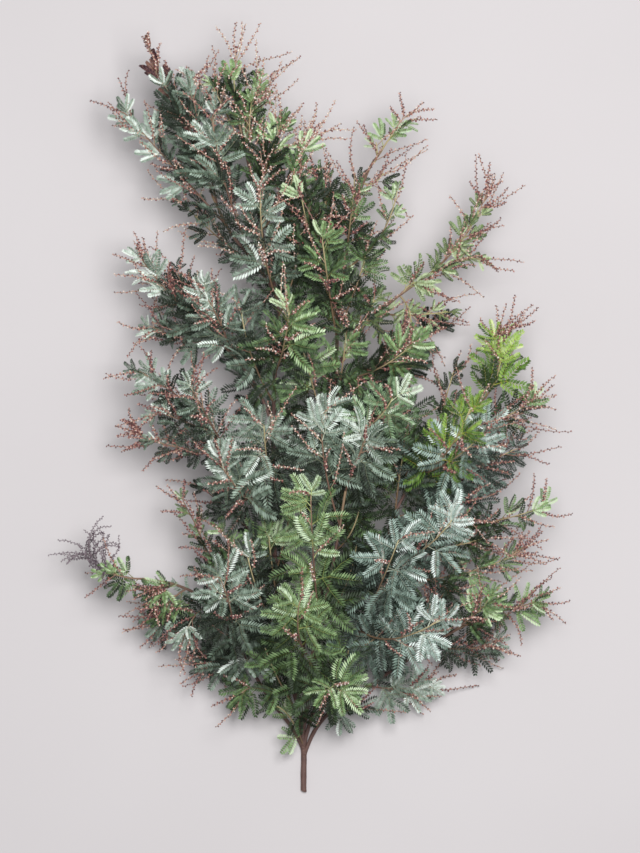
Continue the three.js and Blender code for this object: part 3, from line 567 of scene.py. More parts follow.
SMALL_LEAVES = {
    "top_left_tip": 0.9, "top_left_outer": 0.74, "top_left_edge": 0.5, "top_left_front": 0.84,
    "top_tip": 0.7, "top_inner": 0.8, "top_front": 0.84, "top_centre_front": 0.86, "right_top_tip": 0.5,
    "right_top_side": 0.46, "right_top_front": 0.68, "right_upper_tip": 0.5, "right_upper_low": 0.44,
    "right_middle_tip": 0.76, "right_middle_out": 0.68, "right_middle_inner": 0.56, "right_out": 0.68,
    "right_out_low": 0.72, "right_low_tip": 0.58, "right_low_under": 0.64, "right_bottom": 0.72,
    "left_high_tip": 0.68, "left_high_low": 0.62, "left_high_front": 0.76, "left_middle_tip": 0.62,
    "left_middle_out": 0.5, "left_middle_front": 0.68, "left_small": 0.48, "left_low_tip": 0.54,
    "left_low_out": 0.75, "left_bottom": 0.9, "under_left": 0.75, "under_low_left": 0.55, "foot_left": 0.8,
    "foot_right": 0.8, "breast_right": 0.85, "bough_foot": 0.6, "bough_above": 0.62, "bough_below": 0.52,
    "bough_beyond": 0.55, "bough_hanging": 0.6, "spire_left": 0.5, "spire_right": 0.5, "spire_high": 0.4,
    "peak_left": 0.5, "peak_right": 0.56, "peak_front": 0.66, "crown": 0.8, "crown_left": 0.9,
    "tip_front": 0.8, "arm_below": 0.62, "arm_above": 0.62, "arm_foot": 0.7, "neck_high": 0.75,
    "gap_right": 0.8, "gap_low": 0.75, "gap_middle": 0.85, "gap_bright": 0.85, "gap_side": 0.75,
    "gap_left": 0.65, "gap_high": 0.7, "gap_belly": 0.7, "gap_base": 0.85, "gap_out": 0.85,
    "gap_foot": 0.75, "shoulder_right": 0.8, "foot_low_left": 0.6, "foot_low_right": 0.7,
}
YOUNG_FROM = {"top_left_tip": 0.56, "tip_front": 0.88}
YOUNG_SIZE, YOUNG_COMB = 0.74, -1.0
FACE_OF_COMB, COMB_GAIN = (0.3, 0.65), 1.15
LEAST_FACE, OPEN_FACE = 0.68, {"right_middle_tip": 0.92, "gap_bright": 0.92, "top_left_tip": 0.8}
CROWDED_FACE, EDGE_GAIN = 0.4, 1.12
PAIR_ANGLE = np.array([1.18, 1.18, 0.48, 0.48])
PAIR_START = np.array([0.0, 0.0, 0.2, 0.2])
PAIR_SHARE = np.array([0.92, 0.92, 1.0, 1.0])
PAIR_SIDE = np.array([-1, 1, -1, 1])
PAIR_TILT = np.array([-0.14, -0.14, 0.1, 0.1])
PINNAE = len(PAIR_SIDE)
LEAFLETS, FEWEST_LEAFLETS = 12, 0.7
LEAFLET_ROOM = (0.05, 0.97)
LEAFLET_LENGTH, LEAST_LEAFLET, LEAFLET_VARIETY = 0.26, 0.9, 0.2
LEAFLET_WIDTH = (1.38, 0.95)
LEAFLET_CROWN = 0.28
LEAFLET_CORNERS = np.array([[0, 0, 0], [0.46, -1, 0], [1, 0, 0], [0.46, 1, 0], [0.45, 0, 1]])
UPPER_FACES = np.array([[0, 1, 4], [1, 2, 4], [2, 3, 4], [3, 0, 4]])
UNDER_FACES = np.array([[0, 2, 1], [0, 3, 2]])
SLANT, COMB_SLANT, SLANT_FALL, SLANT_VARIETY = 0.84, 0.2, 0.28, 0.16
ROW_START, ROW_RISE, ROW_FALL_FROM, ROW_FALL = 0.62, 1.2, 0.72, 0.5
LEAST_FOLD, FOLD_VARIETY, LIFT_VARIETY = 0.05, 0.42, 0.15
TWIST, TWIST_VARIETY = 0.35, 0.3
STALK_RADII, RIB_RADII, RIB_SIDES = (0.7, 0.42, 0.32), (0.36, 0.25, 0.14), 3
# The fold shade is painted shade and painted light: one side of each folded pinna darker, the other lighter.
PINNA_SHADE, LEAFLET_SHADE, YOUNG_SHADE, PAINTED_FOLD_SHADE = 0.4, 0.2, 0.12, 0.08
# The glint is a painted highlight: one row of leaflets on the palest pinnae of pale leaves is lightened.
PAINTED_GLINT, PAINTED_GLINT_FROM, PAINTED_GLINT_TONE = 0.22, 0.34, 0.45
UPPER, UNDER, RIB = 0.02, 0.36, 0.70
BAND = 0.28
MARK_SPREAD = 0.004
LEAST_TONE, YOUNG_END, GROWN_START, MOST_TONE = 0.01, 0.15, 0.21, 0.98


def draws(seeds, count):
    """Seeded numbers from 0 to 1, one row for each seed. The first state is 2654435 times the seed plus
    12345, each next one 1664525 times the last plus 1013904223, and all stay within 2^32."""
    state = (np.asarray(seeds, dtype=np.int64) * 2654435 + 12345) % 4294967296
    columns = []
    for _ in range(count):
        state = (1664525 * state + 1013904223) % 4294967296
        columns.append(state / 4294967296)
    return np.stack(columns, axis=-1)


def heading(curve, places):
    """The way a curve runs at places from 0 to 1, from a point a little before to a point a little after."""
    return unit(curve(np.minimum(places + HEADING_STEP, 1)) - curve(np.maximum(places - HEADING_STEP, 0)))


def square_to(ahead, angle):
    """Unit vectors square to each heading: the level one turned round the heading by the angle."""
    level = unit(np.cross(ahead, UP))
    return level * np.cos(angle)[:, None] + np.cross(level, ahead) * np.sin(angle)[:, None]


def leaned(axis, side, lean):
    """Directions leaned out from the axis towards the side by the angle."""
    return axis * np.cos(lean)[:, None] + side * np.sin(lean)[:, None]


def leaf_places(name, shoot):
    """Every leaf of a shoot as arrays: its foot, its three axes (along, across, out of the upper side), its
    sizes and its shades. Leaf number n stands at (n + the first place) / leaves of the twig's length, turned
    n golden angles round it, and where the branch is crowded every third gap holds one more. A leaf shrinks
    by the cube of that share, and one that would dip into the table is levelled until it clears it. Leaves
    that face up and spread wide like a comb grow in the middle of the branch, and narrower ones that clasp
    the twig grow on its edges."""
    crowded = shoot["face"] > CROWDED_FACE or name in INNER_SHOOTS
    slots = np.arange(shoot["leaves"])
    between = np.arange(1, shoot["leaves"] - 1, BETWEEN_STEP) if crowded else slots[:0]
    draw = draws(LEAF_SEED * shoot["order"] + np.concatenate([slots, BETWEEN_SEED + between]), LEAF_DRAWS)
    slots = np.concatenate([slots, between + 0.5])
    along = (slots + FIRST_LEAF) / shoot["leaves"]
    foot, ahead = shoot["curve"](along), heading(shoot["curve"], along)
    turn = LEAF_TURN * shoot["order"] + GOLDEN_ANGLE * slots + TURN_VARIETY * (draw[:, 0] - 0.5)
    outward = square_to(ahead, turn)
    young = along > YOUNG_FROM.get(name, 1)
    comb = np.where(young, YOUNG_COMB, np.interp(shoot["face"], FACE_OF_COMB, [0, 1]))
    wide = np.maximum(comb, 0)
    lean = np.interp(along, [0, 1], LEAF_LEAN) + LEAN_VARIETY * (draw[:, 1] - 0.5)
    lean = lean * (CLASPING_LEAN + COMB_LEAN * comb)
    size = PINNA_LENGTH * SMALL_LEAVES.get(name, 1) * (LEAST_SIZE + SIZE_VARIETY * draw[:, 2])
    size = size * (1 - TIP_SHRINK * along**3) * np.where(young, YOUNG_SIZE, 1 if crowded else EDGE_GAIN)
    axis = leaned(ahead, outward, lean)
    slope = (FLOOR_CLEARANCE - foot[:, 2]) / (LEAF_REACH * size)
    level = unit(axis * [1, 1, 0]) * np.sqrt(1 - np.minimum(slope, 1) ** 2)[:, None] + UP * slope[:, None]
    axis = np.where((axis[:, 2] < slope)[:, None], level, axis)
    axis[:, 2] = np.where(axis[:, 2] > 0, axis[:, 2] * (1 - COMB_LEVEL * wide), axis[:, 2])
    axis = unit(axis)
    size = size * (1 + (COMB_GAIN - 1) * wide)
    low = np.clip(1 - foot[:, 2] / LEVEL_LEAF_HEIGHT, 0, 1)
    face = max(shoot["face"], OPEN_FACE.get(name, LEAST_FACE))
    turned = (face + (1 - face) * low)[:, None]
    normal = leaned(ahead, outward, lean - np.pi / 2) * (1 - turned) + UP * turned
    normal = unit(normal - (normal * axis).sum(axis=-1, keepdims=True) * axis)
    normal = leaned(normal, np.cross(normal, axis), ROLL_VARIETY * (draw[:, 12] - 0.5) * (1 - low))
    spread, length, tilt = np.moveaxis(draw[:, 13:25].reshape(-1, 3, PINNAE, 1) - 0.5, 1, 0)
    comb, high = comb[:, None, None], 1 - low[:, None, None]
    return {
        "comb": comb,
        "young": young,
        "foot": foot,
        "axis": axis,
        "across": np.cross(normal, axis),
        "normal": normal,
        "size": size,
        "stalk": np.interp(draw[:, 3], [0, 1], STALK_LENGTH),
        "droop": np.interp(draw[:, 4], [0, 1], PINNA_DROOP)[:, None, None] * high,
        "spread": (CLASPING_SPREAD + COMB_SPREAD * comb) * PAIR_ANGLE[:, None] + SPREAD_VARIETY * spread,
        "length": size[:, None, None] * PAIR_SHARE[:, None] * (1 + LENGTH_VARIETY * length),
        "tilt": PAIR_TILT[:, None] + TILT_VARIETY * tilt * high,
        "fold": LEAST_FOLD + FOLD_VARIETY * draw[:, 5, None, None],
        "paleness": draw[:, 6],
        "redness": draw[:, 7],
        "shade": draw[:, 25:29, None] - 0.5,
    }


def stand(leaf, local):
    """Local places (along, across, above) of each leaf as places in space."""
    shape = (len(leaf["size"]),) + (1,) * (local.ndim - 2) + (3,)
    place = leaf["foot"].reshape(shape)
    for k, axis in enumerate(("axis", "across", "normal")):
        place = place + local[..., k:k + 1] * leaf[axis].reshape(shape)
    return place


def arch(leaf, p):
    """How high a pinna runs above its leaf's plane at shares p: length * (rise p - droop p^2 + tilt p)."""
    return leaf["length"] * (PINNA_RISE * p - leaf["droop"] * p**2 + leaf["tilt"] * p)


def pinna_rib(leaf, p):
    """The rib of each pinna at shares p of its length, as local places, with its heading there. The heading
    turns from the pinna's angle + half the bow to the angle - half the bow, and the place is its integral."""
    start = leaf["stalk"][:, None, None] + leaf["size"][:, None, None] * PAIR_START[:, None]
    first = leaf["spread"] + PINNA_BOW / 2
    angle = first - PINNA_BOW * p
    u = start + leaf["length"] * (np.sin(first) - np.sin(angle)) / PINNA_BOW
    v = PAIR_SIDE[:, None] * leaf["length"] * (np.cos(angle) - np.cos(first)) / PINNA_BOW
    return np.stack(np.broadcast_arrays(u, v, arch(leaf, p)), axis=-1), angle


def tube_marks(grain, faces, tone, band):
    """UV places of a tube that shows one tone of a band: a small patch round the tone, by turn and length."""
    turned = unit(grain[..., :2] + 1e-9)
    share = 1 - grain[..., 2] / grain[..., 2].min()
    across = tone[:, None] + MARK_SPREAD * turned[..., 0]
    along = band + BAND * share + MARK_SPREAD * turned[..., 1]
    return np.stack([across, along], axis=-1).reshape(-1, 2)[faces.reshape(-1, 3)]


def add_leaflets(body, leaf, tone, pairs):
    """Both rows of leaflets on every pinna, at even shares p of it. A leaflet is a blade with four corners,
    flat below and crowned above. It leaves the rib at the slant, which falls by p^2 towards the tip, and its
    length rises along the row and then falls by a square. It is lifted out of the leaf's plane by its length
    * sin(slant) * the fold, and its twist lifts one edge. Its tone is the leaf's, varied at random by pinna
    and by leaflet, with painted shade on one side of the fold and painted light on the other. Some rows of
    pale leaves get a painted highlight, a glint, and young leaves keep to their own short range of tones."""
    p = np.tile(np.linspace(*LEAFLET_ROOM, pairs), 2)
    row = np.repeat([-1, 1], pairs)
    count, comb = len(leaf["size"]), leaf["comb"]
    seeds = np.arange(count * PINNAE * len(p)) * LEAFLET_SEED + int(LEAFLET_SEEDS * leaf["size"][0])
    luck = draws(seeds, 4).reshape(count, PINNAE, len(p), 4)
    even = luck - 0.5
    rib, angle = pinna_rib(leaf, p)
    slant = (SLANT + COMB_SLANT * comb) - SLANT_FALL * p**2 + SLANT_VARIETY * even[..., 0]
    fall = ROW_FALL * np.clip((p - ROW_FALL_FROM) / (1 - ROW_FALL_FROM), 0, 1) ** 2
    reach = LEAFLET_LENGTH * leaf["length"] * np.minimum(1, ROW_START + ROW_RISE * p) * (1 - fall)
    reach = reach * (LEAST_LEAFLET + LEAFLET_VARIETY * luck[..., 1])
    turn = PAIR_SIDE[:, None] * (angle + row * slant)
    lift = leaf["fold"] + LIFT_VARIETY * even[..., 2]
    twist = row * PAIR_SIDE[:, None] * TWIST + TWIST_VARIETY * even[..., 3]
    wide = np.interp(comb, [0, 1], LEAFLET_WIDTH) * leaf["length"] / PINNA_LENGTH * LEAFLETS / pairs
    s = LEAFLET_CORNERS[:, 0] * reach[..., None]
    h = LEAFLET_CORNERS[:, 1] * wide[..., None]
    q = p[:, None] + s * np.cos(slant)[..., None] / leaf["length"][..., None]
    u = rib[..., 0, None] + s * np.cos(turn)[..., None] - h * np.sin(turn)[..., None]
    v = rib[..., 1, None] + s * np.sin(turn)[..., None] + h * np.cos(turn)[..., None]
    w = arch(leaf, q.reshape(count, PINNAE, -1)).reshape(q.shape)
    w = w + s * np.sin(slant)[..., None] * lift[..., None] + h * twist[..., None]
    w = w + LEAFLET_CROWN * LEAFLET_CORNERS[:, 2]
    vertices = stand(leaf, np.stack([u, v, w], axis=-1))
    blade = np.vstack([UPPER_FACES, UNDER_FACES])
    total = vertices.size // 3 // len(LEAFLET_CORNERS)
    faces = blade + (np.arange(total) * len(LEAFLET_CORNERS))[:, None, None]
    tone = tone[:, None, None]
    shade = tone + PINNA_SHADE * leaf["shade"] + LEAFLET_SHADE * even[..., 1]
    # Painted shade on one side of each pinna's fold and painted light on the other.
    shade = shade + PAINTED_FOLD_SHADE * row * np.sign(leaf["shade"])
    # Painted highlight on one row of the palest pinnae.
    shade = shade + PAINTED_GLINT * (leaf["shade"] * row > PAINTED_GLINT_FROM) * (tone > PAINTED_GLINT_TONE)
    reddish = np.clip(tone + YOUNG_SHADE * even[..., 1], LEAST_TONE, YOUNG_END)
    shade = np.where(tone < YOUNG_END, reddish, np.clip(shade, GROWN_START, MOST_TONE))
    across = shade.reshape(-1, 1, 1) + MARK_SPREAD * LEAFLET_CORNERS[:, 1][blade]
    band = np.array([[UPPER]] * len(UPPER_FACES) + [[UNDER]] * len(UNDER_FACES))
    along = np.broadcast_to(band + BAND * LEAFLET_CORNERS[:, 0][blade], across.shape)
    body.add(vertices, faces, np.stack([across, along], axis=-1))


def add_ribs(body, leaf, tone):
    """The stalk and rachis of every leaf, and the rib of every pinna, as slim tapering tubes. The stalk runs
    straight on to where the second pair of pinnae starts."""
    share = np.linspace(0, 1, len(STALK_RADII))
    local = np.zeros((len(leaf["size"]), len(share), 3))
    local[..., 0] = share * (leaf["stalk"] + PAIR_START.max() * leaf["size"])[:, None]
    stalks = stand(leaf, local)
    ribs = stand(leaf, pinna_rib(leaf, share)[0]).reshape(-1, len(share), 3)
    for paths, radii, tones in ((stalks, STALK_RADII, tone), (ribs, RIB_RADII, np.repeat(tone, PINNAE))):
        vertices, faces, grain = tubes(paths, np.broadcast_to(radii, paths.shape[:2]), RIB_SIDES)
        body.add(vertices, faces, tube_marks(grain, faces, tones, RIB))


BELOW_FROM, RIBS_FROM = 0.33, 0.67


def leaf_finish(name, upper, under, rib):
    """Waxy leaf: three ramps of tones, for the upper sides, the undersides and the ribs, by the band that the
    UV place is in. On the upper side the colour pales a little towards the tip of the leaflet."""
    leaf = Finish(name)
    place = leaf.node("SeparateXYZ", {"Vector": leaf.node("UVMap", uv_map="OFBake")})
    tone, row = place, place.other(1)
    below, ribs = row > BELOW_FROM, row > RIBS_FROM
    above, beneath = (leaf.node("ValToRGB", {"Fac": tone}, stops=stops) for stops in (upper, under))
    sides = leaf.mixed(below, above, beneath)
    shown = leaf.mixed(ribs, sides, leaf.node("ValToRGB", {"Fac": tone}, stops=rib))
    toward_tip = leaf.node("MapRange", {"Value": row, "From Min": UPPER, "From Max": UPPER + BAND})
    return leaf.surface({
        "Base Color": leaf.mixed(toward_tip * (1 - below) * tone * 0.2, shown, linear("e6efe2")),
        "Roughness": 0.38 + tone * 0.2 + below * 0.12,
        "Specular IOR Level": 0.18,
    })


UPPER_STOPS, PLAIN_STOPS = (0.0, 0.1, 0.2, 0.45, 0.75, 1.0), (0.0, 0.2, 0.5, 1.0)


def ramp(places, *colours):
    """The stops of a ramp: a colour at each place."""
    return list(zip(places, colours))


FOLIAGE = {
    "grey": leaf_finish(
        "Grey_leaf",
        upper=ramp(
            (0.0, 0.07, 0.14, 0.2, 0.45, 0.75, 1.0),
            "2a1a22", "5a3c40", "8a6456", "111a0f", "526554", "98ac9c", "e8f2ea",
        ),
        under=ramp(PLAIN_STOPS, "5a4240", "1a221a", "75867a", "dfe8df"),
        rib=ramp(PLAIN_STOPS, "7a4a3e", "2c3222", "949c82", "dde4cf"),
    ),
    "grey_right_middle": leaf_finish(
        "Silver_leaf",
        upper=ramp(UPPER_STOPS, "4c2c2c", "6b4840", "16211a", "60766a", "a2b8ae", "eaf4f0"),
        under=ramp(PLAIN_STOPS, "5a4240", "1c2620", "7e9288", "e4eee8"),
        rib=ramp(PLAIN_STOPS, "7a4a3e", "2e3428", "9aa28e", "e0e8d8"),
    ),
    "grey_right_top": leaf_finish(
        "Mixed_leaf",
        upper=ramp(UPPER_STOPS, "4c2c2c", "6b4840", "0e1a0a", "48633f", "88a97c", "deecd6"),
        under=ramp(PLAIN_STOPS, "5a4240", "182016", "6c8068", "d2e0cf"),
        rib=ramp(PLAIN_STOPS, "7a4a3e", "2a3018", "899268", "d4dcb8"),
    ),
    "green": leaf_finish(
        "Green_leaf",
        upper=ramp(UPPER_STOPS, "3c2a26", "4c4030", "0c1906", "405c30", "7d9f60", "d0e5ba"),
        under=ramp(PLAIN_STOPS, "5a4a3c", "141e0f", "607653", "c0d4b8"),
        rib=ramp(PLAIN_STOPS, "6b4a3c", "282c14", "7c8050", "c0c896"),
    ),
    "green_right_upper": leaf_finish(
        "Bough_leaf",
        upper=ramp(UPPER_STOPS, "3c2a26", "4c4030", "18220e", "44592f", "758e55", "c2d4a6"),
        under=ramp((0.0, 0.2, 0.6, 1.0), "5a4a3c", "3a4834", "849672", "c6d4bc"),
        rib=ramp((0.0, 0.4, 1.0), "6b4a3c", "90945c", "cacf98"),
    ),
    "bright": leaf_finish(
        "Fresh_leaf",
        upper=ramp(UPPER_STOPS, "54381f", "6a5a2a", "14240c", "4e6a38", "8caa70", "d0e6c0"),
        under=ramp(PLAIN_STOPS, "6a5a2a", "182410", "688456", "bccfac"),
        rib=ramp(PLAIN_STOPS, "7b5a34", "2c3414", "8c9656", "ccd69c"),
    ),
    "bright_right_middle": leaf_finish(
        "Sunlit_leaf",
        upper=ramp(UPPER_STOPS, "54381f", "6a5a2a", "1c300a", "557a1c", "92b442", "d6e69a"),
        under=ramp((0.0, 0.2, 0.6, 1.0), "6a5a2a", "4c6430", "8ca65e", "c2d6a0"),
        rib=ramp((0.0, 0.4, 1.0), "7b5a34", "a0a844", "d2da84"),
    ),
}
# Painted shade: a leaf's tone falls with its depth under the highest leaves around it, as its light does.
COVER_CELL, COVER_CELLS, PAINTED_SHADE_DEPTH = 24, 40, 100
MIDDLE_TONE, TONE_VARIETY, GROWN_TONES = 0.74, 0.4, (0.22, 0.98)
TONE_SHIFT = {
    "top_left_tip": 0.18, "crown_left": 0.18, "tip_front": 0.14, "top_left_front": -0.1, "top_front": -0.12,
    "top_centre_front": -0.2, "right_top_tip": -0.1, "right_top_side": -0.12, "right_top_front": -0.15,
    "right_upper_tip": -0.1, "right_upper_low": 0.3, "right_inner": -0.1, "centre_high": -0.08,
    "left_high_tip": 0.04, "left_high_low": 0.08, "left_middle_tip": -0.14, "left_middle_front": -0.12,
    "right_middle_tip": -0.08, "right_middle_inner": 0.12, "gap_bright": -0.18, "gap_right": -0.05,
    "gap_out": -0.1, "right_out": -0.08, "right_out_low": -0.08, "right_low_tip": -0.08,
    "right_low_under": 0.12, "right_bottom": 0.08, "left_small": -0.1, "left_low_tip": -0.2,
    "arm_above": -0.2, "arm_below": -0.16, "arm_foot": -0.05, "left_low_out": 0.1, "left_bottom": 0.12,
    "side_left": 0.12, "belly_left": 0.06, "shoulder_left": 0.08, "neck": 0.06, "gap_high": 0.06,
    "bough_below": 0.22, "bough_hanging": 0.16,
}


def cell_of(feet):
    """The square cell of the table that each foot stands over, as its two whole numbers."""
    return tuple((feet[:, :2] / COVER_CELL + COVER_CELLS // 2).astype(int).T)


leaves = {name: leaf_places(name, shoot) for name, shoot in shoots.items()}
feet = np.vstack([leaf["foot"] for leaf in leaves.values()])
cover = np.zeros((COVER_CELLS, COVER_CELLS))
np.maximum.at(cover, cell_of(feet), feet[:, 2])
cover = np.max([np.roll(cover, (i, j), (0, 1)) for i in (-1, 0, 1) for j in (-1, 0, 1)], axis=0)
leafage = {}
for name, shoot in shoots.items():
    leaf = leaves[name]
    depth = cover[cell_of(leaf["foot"])] - leaf["foot"][:, 2]
    # Painted shade: the deeper a leaf lies under the leaves around it, the darker its colour.
    tone = MIDDLE_TONE + TONE_SHIFT.get(name, 0) - depth / PAINTED_SHADE_DEPTH
    tone = tone + TONE_VARIETY * (leaf["paleness"] - 0.5)
    tone = np.where(leaf["young"], YOUNG_END * leaf["redness"], np.clip(tone, *GROWN_TONES))
    body, nodes = leafage.setdefault((shoot["fork"], shoot["tone"]), (Body(), []))
    add_leaflets(body, leaf, tone, round(LEAFLETS * max(SMALL_LEAVES.get(name, 1), FEWEST_LEAFLETS)))
    add_ribs(body, leaf, tone)
    if name in SHOOTS:
        nodes.append(f"shoot_{name}")
for (fork, tone), (body, nodes) in leafage.items():
    finish = FOLIAGE.get(f"{tone}_{fork}", FOLIAGE[tone])
    body.make(f"leaves_{fork}_{tone}", finish, tone, nodes, smooth=False)

# Flower buds stand in racemes: thin stiff axes, 2 to 7 cm long, set all round with stalked heads like tiny
# beads, rust-red to burgundy. They spring from the leaf axils and end eight shoots as sprays, one of them
# dried to dusky purple. A row gives a spray's length, how far its tip turns, its racemes and their length.
SPRAYS = {
    "top_tip": (20, (4, 4, 0), 6, 57.8),
    "top_inner": (16, (6, 0, 2), 5, 40.8),
    "right_top_tip": (14, (2, 0, 0), 5, 27.2),
    "right_upper_tip": (14, (2, 4, 0), 5, 37.4),
    "right_middle_tip": (14, (12, 0, 0), 5, 34),
    "right_out_low": (14, (2, 4, 0), 5, 34),
    "left_low_tip": (24, (-2, 14, 4), 8, 44.2),
    "left_middle_out": (16, (0, 6, 0), 5, 27.2),
}
FIRST_SPRAY = 90
DARK_SPRAY = "left_low_tip"
JOINT_GAP = 0.35
SPRAY_RADIUS, SPRAY_SIDES = (0.6, 0.35), 5
SHOOT_HABIT = {"lean": (0.75, 0.75), "wave": 2.4, "hook": 0.9}
SPRAY_HABIT = {"lean": (0.9, 0.2), "wave": 2.4, "hook": 0.9}
DARK_HABIT = {"lean": (1.5, 0.3), "wave": 4, "hook": 3.6}
RACEME_LENGTH = 50
SHORTER = {
    "arm_above": 0.75, "arm_below": 0.8, "tip_front": 0.5, "top_left_tip": 0.5, "left_middle_tip": 0.85,
    "left_middle_out": 0.8, "left_high_tip": 0.9, "left_small": 0.7,
}
EDGE_FILL, COMB_FILL, SPRAY_FILL, DARK_FILL = 3.4, 2, 2, 3
FILL = {
    "right_upper_low": 1, "right_upper_tip": 2, "top_tip": 1, "bough_foot": 2, "spire_left": 1,
    "spire_right": 1, "spire_high": 1, "right_top_side": 1, "right_top_tip": 1, "left_middle_tip": 2,
    "arm_above": 3, "left_middle_out": 2, "right_out_low": 2, "left_low_tip": 1, "left_low_out": 2,
    "arm_below": 2, "arm_foot": 2, "bough_below": 2, "bough_hanging": 2,
}
RACEME_RINGS, AXIS_RADIUS, AXIS_SIDES = 6, (0.6, 0.32), 3
RACEME_SEEDS, RACEME_SEED, RACEME_DRAWS = 500000, 1000, 8
HEAD_SEED, HEAD_SEEDS = 13, 1e5
FIRST_RACEME = 0.15
RACEME_TURN, RACEME_TURN_VARIETY = 2.3, 0.8
RACEME_LEAN_VARIETY, RACEME_RISE = 0.4, 0.15
LEAST_RACEME, RACEME_VARIETY, LATER_RACEME = 0.75, 0.5, 0.8
RACEME_CURL, CURL_DOWN, LEAST_TURN = 0.3, 0.6, 0.001
HALF_WAVES, WAVE_PHASES = 1.7, 6.3
RACEME_ROOM = np.array([[-276, -400, -9], [276, 410, 232]])
RACEME_FLOOR = 1.5
ALMOST_UP = UP + 1e-6
HEADS, BARE_FOOT = 25, 0.14
HEAD_SIDES, HEAD_LONG = 4, 1.1
HEAD_RADIUS, LEAST_HEAD, HEAD_SIZES = (1.3, 0.9), 0.8, 0.4
HEAD_LEAN, HEAD_OUT, HEAD_PHASES = 0.5, 0.8, 6.28
HEAD_STALK, STALK_IN_HEAD, STALK_FOOT = (0.65, 0.3), 0.4, 0.3
DARK_HEAD, DARK_END, RED_START = 0.85, 0.13, 0.19
HEAD_HUE_AND_HIGHLIGHT_VARIETY, DARK_VARIETY = 0.9, 0.14
HUE = {"left": 0.38, "right": 0.41, "main": 0.6, "top": 0.44, "front": 0.5, "under": 0.4}
HUE_VARIETY, DARK_HUE, DARK_HUE_VARIETY, HUE_ENDS = 0.3, 0.065, 0.1, (0.02, 0.98)
LEAST_HUE, MOST_HUE, HEAD_BAND, STALK_BAND = 0.01, 0.99, 0.1, 0.1
SPIKE = np.array([[0, 2, 1], [0, 1, 3], [1, 2, 3], [2, 0, 3]])
STALK_MARKS = np.array([[1, 0], [-0.5, 0.9], [-0.5, -0.9], [0.1, 0.1]])


def raceme_paths(curve, order, racemes, fill, full_length, lean, wave, hook):
    """The axes of the racemes at their places on a shoot or spray: foot + L (arc + s^2 curl), with a wave,
    where the arc turns aside evenly by up to the hook. Each leans out from the shoot, by the first lean at
    the foot and the second at the tip. Every place is filled the given number of times, each time a little
    further along and turned further round. Gives with them two draws for each raceme."""
    index = np.arange(fill * racemes)
    place, filling = index % racemes, index // racemes
    draw = draws(RACEME_SEEDS + RACEME_SEED * order + index, RACEME_DRAWS)
    along = np.minimum(FIRST_RACEME + (1 - FIRST_RACEME) * (place + 0.5 + filling / fill) / racemes, 1)
    ahead = heading(curve, along)
    turn = RACEME_TURN * order + GOLDEN_ANGLE * index + RACEME_TURN_VARIETY * (draw[:, 0] - 0.5)
    angle = np.interp(place / racemes, [0, 1], lean) + RACEME_LEAN_VARIETY * (draw[:, 1] - 0.5)
    direction = leaned(ahead, square_to(ahead, turn), angle)
    direction = np.where(filling[:, None] > 0, unit(direction + UP * RACEME_RISE), direction)
    length = full_length * (LEAST_RACEME + RACEME_VARIETY * draw[:, 2])
    length = length * np.where(filling > 0, LATER_RACEME, 1)
    curl = RACEME_CURL * (ahead * draw[:, 3:4] + UP * (draw[:, 4:5] - CURL_DOWN))
    aside = unit(np.cross(direction, ALMOST_UP))[:, None]
    turn = (hook * (2 * draw[:, 7] - 1) + LEAST_TURN)[:, None, None]
    s = np.linspace(0, 1, RACEME_RINGS)[:, None]
    arc = direction[:, None] * np.sin(turn * s) / turn + aside * (1 - np.cos(turn * s)) / turn
    reach = arc + s**2 * curl[:, None]
    foot = curve(along)[:, None]
    room = np.where(reach > 0, RACEME_ROOM[1], RACEME_ROOM[0]) - foot
    length = np.minimum(length, (room[:, 1:] / reach[:, 1:]).min(axis=(1, 2)))
    sway = aside * wave * (2 * draw[:, 5, None, None] - 1)
    sway = sway * np.sin(np.pi * HALF_WAVES * s + WAVE_PHASES * draw[:, 6:7, None]) * np.sin(np.pi * s / 2)
    paths = foot + length[:, None, None] * reach + sway
    paths[..., 2] = np.maximum(paths[..., 2], RACEME_FLOOR)
    return paths, draw[:, 5], draw[:, 6]


def add_stalks(body, base, ways, stalk, hue):
    """A stalk for each head: a three-sided spike from the raceme's axis that ends a little inside the head."""
    out, aside, upon = ways
    third = np.arange(3)[:, None] * 2 * np.pi / 3
    around_foot = aside[:, :, None] * np.cos(third) + upon[:, :, None] * np.sin(third)
    points = (base + out * (stalk + STALK_IN_HEAD))[:, :, None]
    vertices = np.concatenate([base[:, :, None] + STALK_FOOT * around_foot, points], axis=2)
    count = len(base) * HEADS
    faces = SPIKE + (np.arange(count) * 4)[:, None, None]
    marks = np.stack([np.repeat(hue, HEADS), np.full(count, RIB + STALK_BAND)], axis=-1)
    body.add(vertices, faces, marks[:, None, None] + MARK_SPREAD * STALK_MARKS[SPIKE])


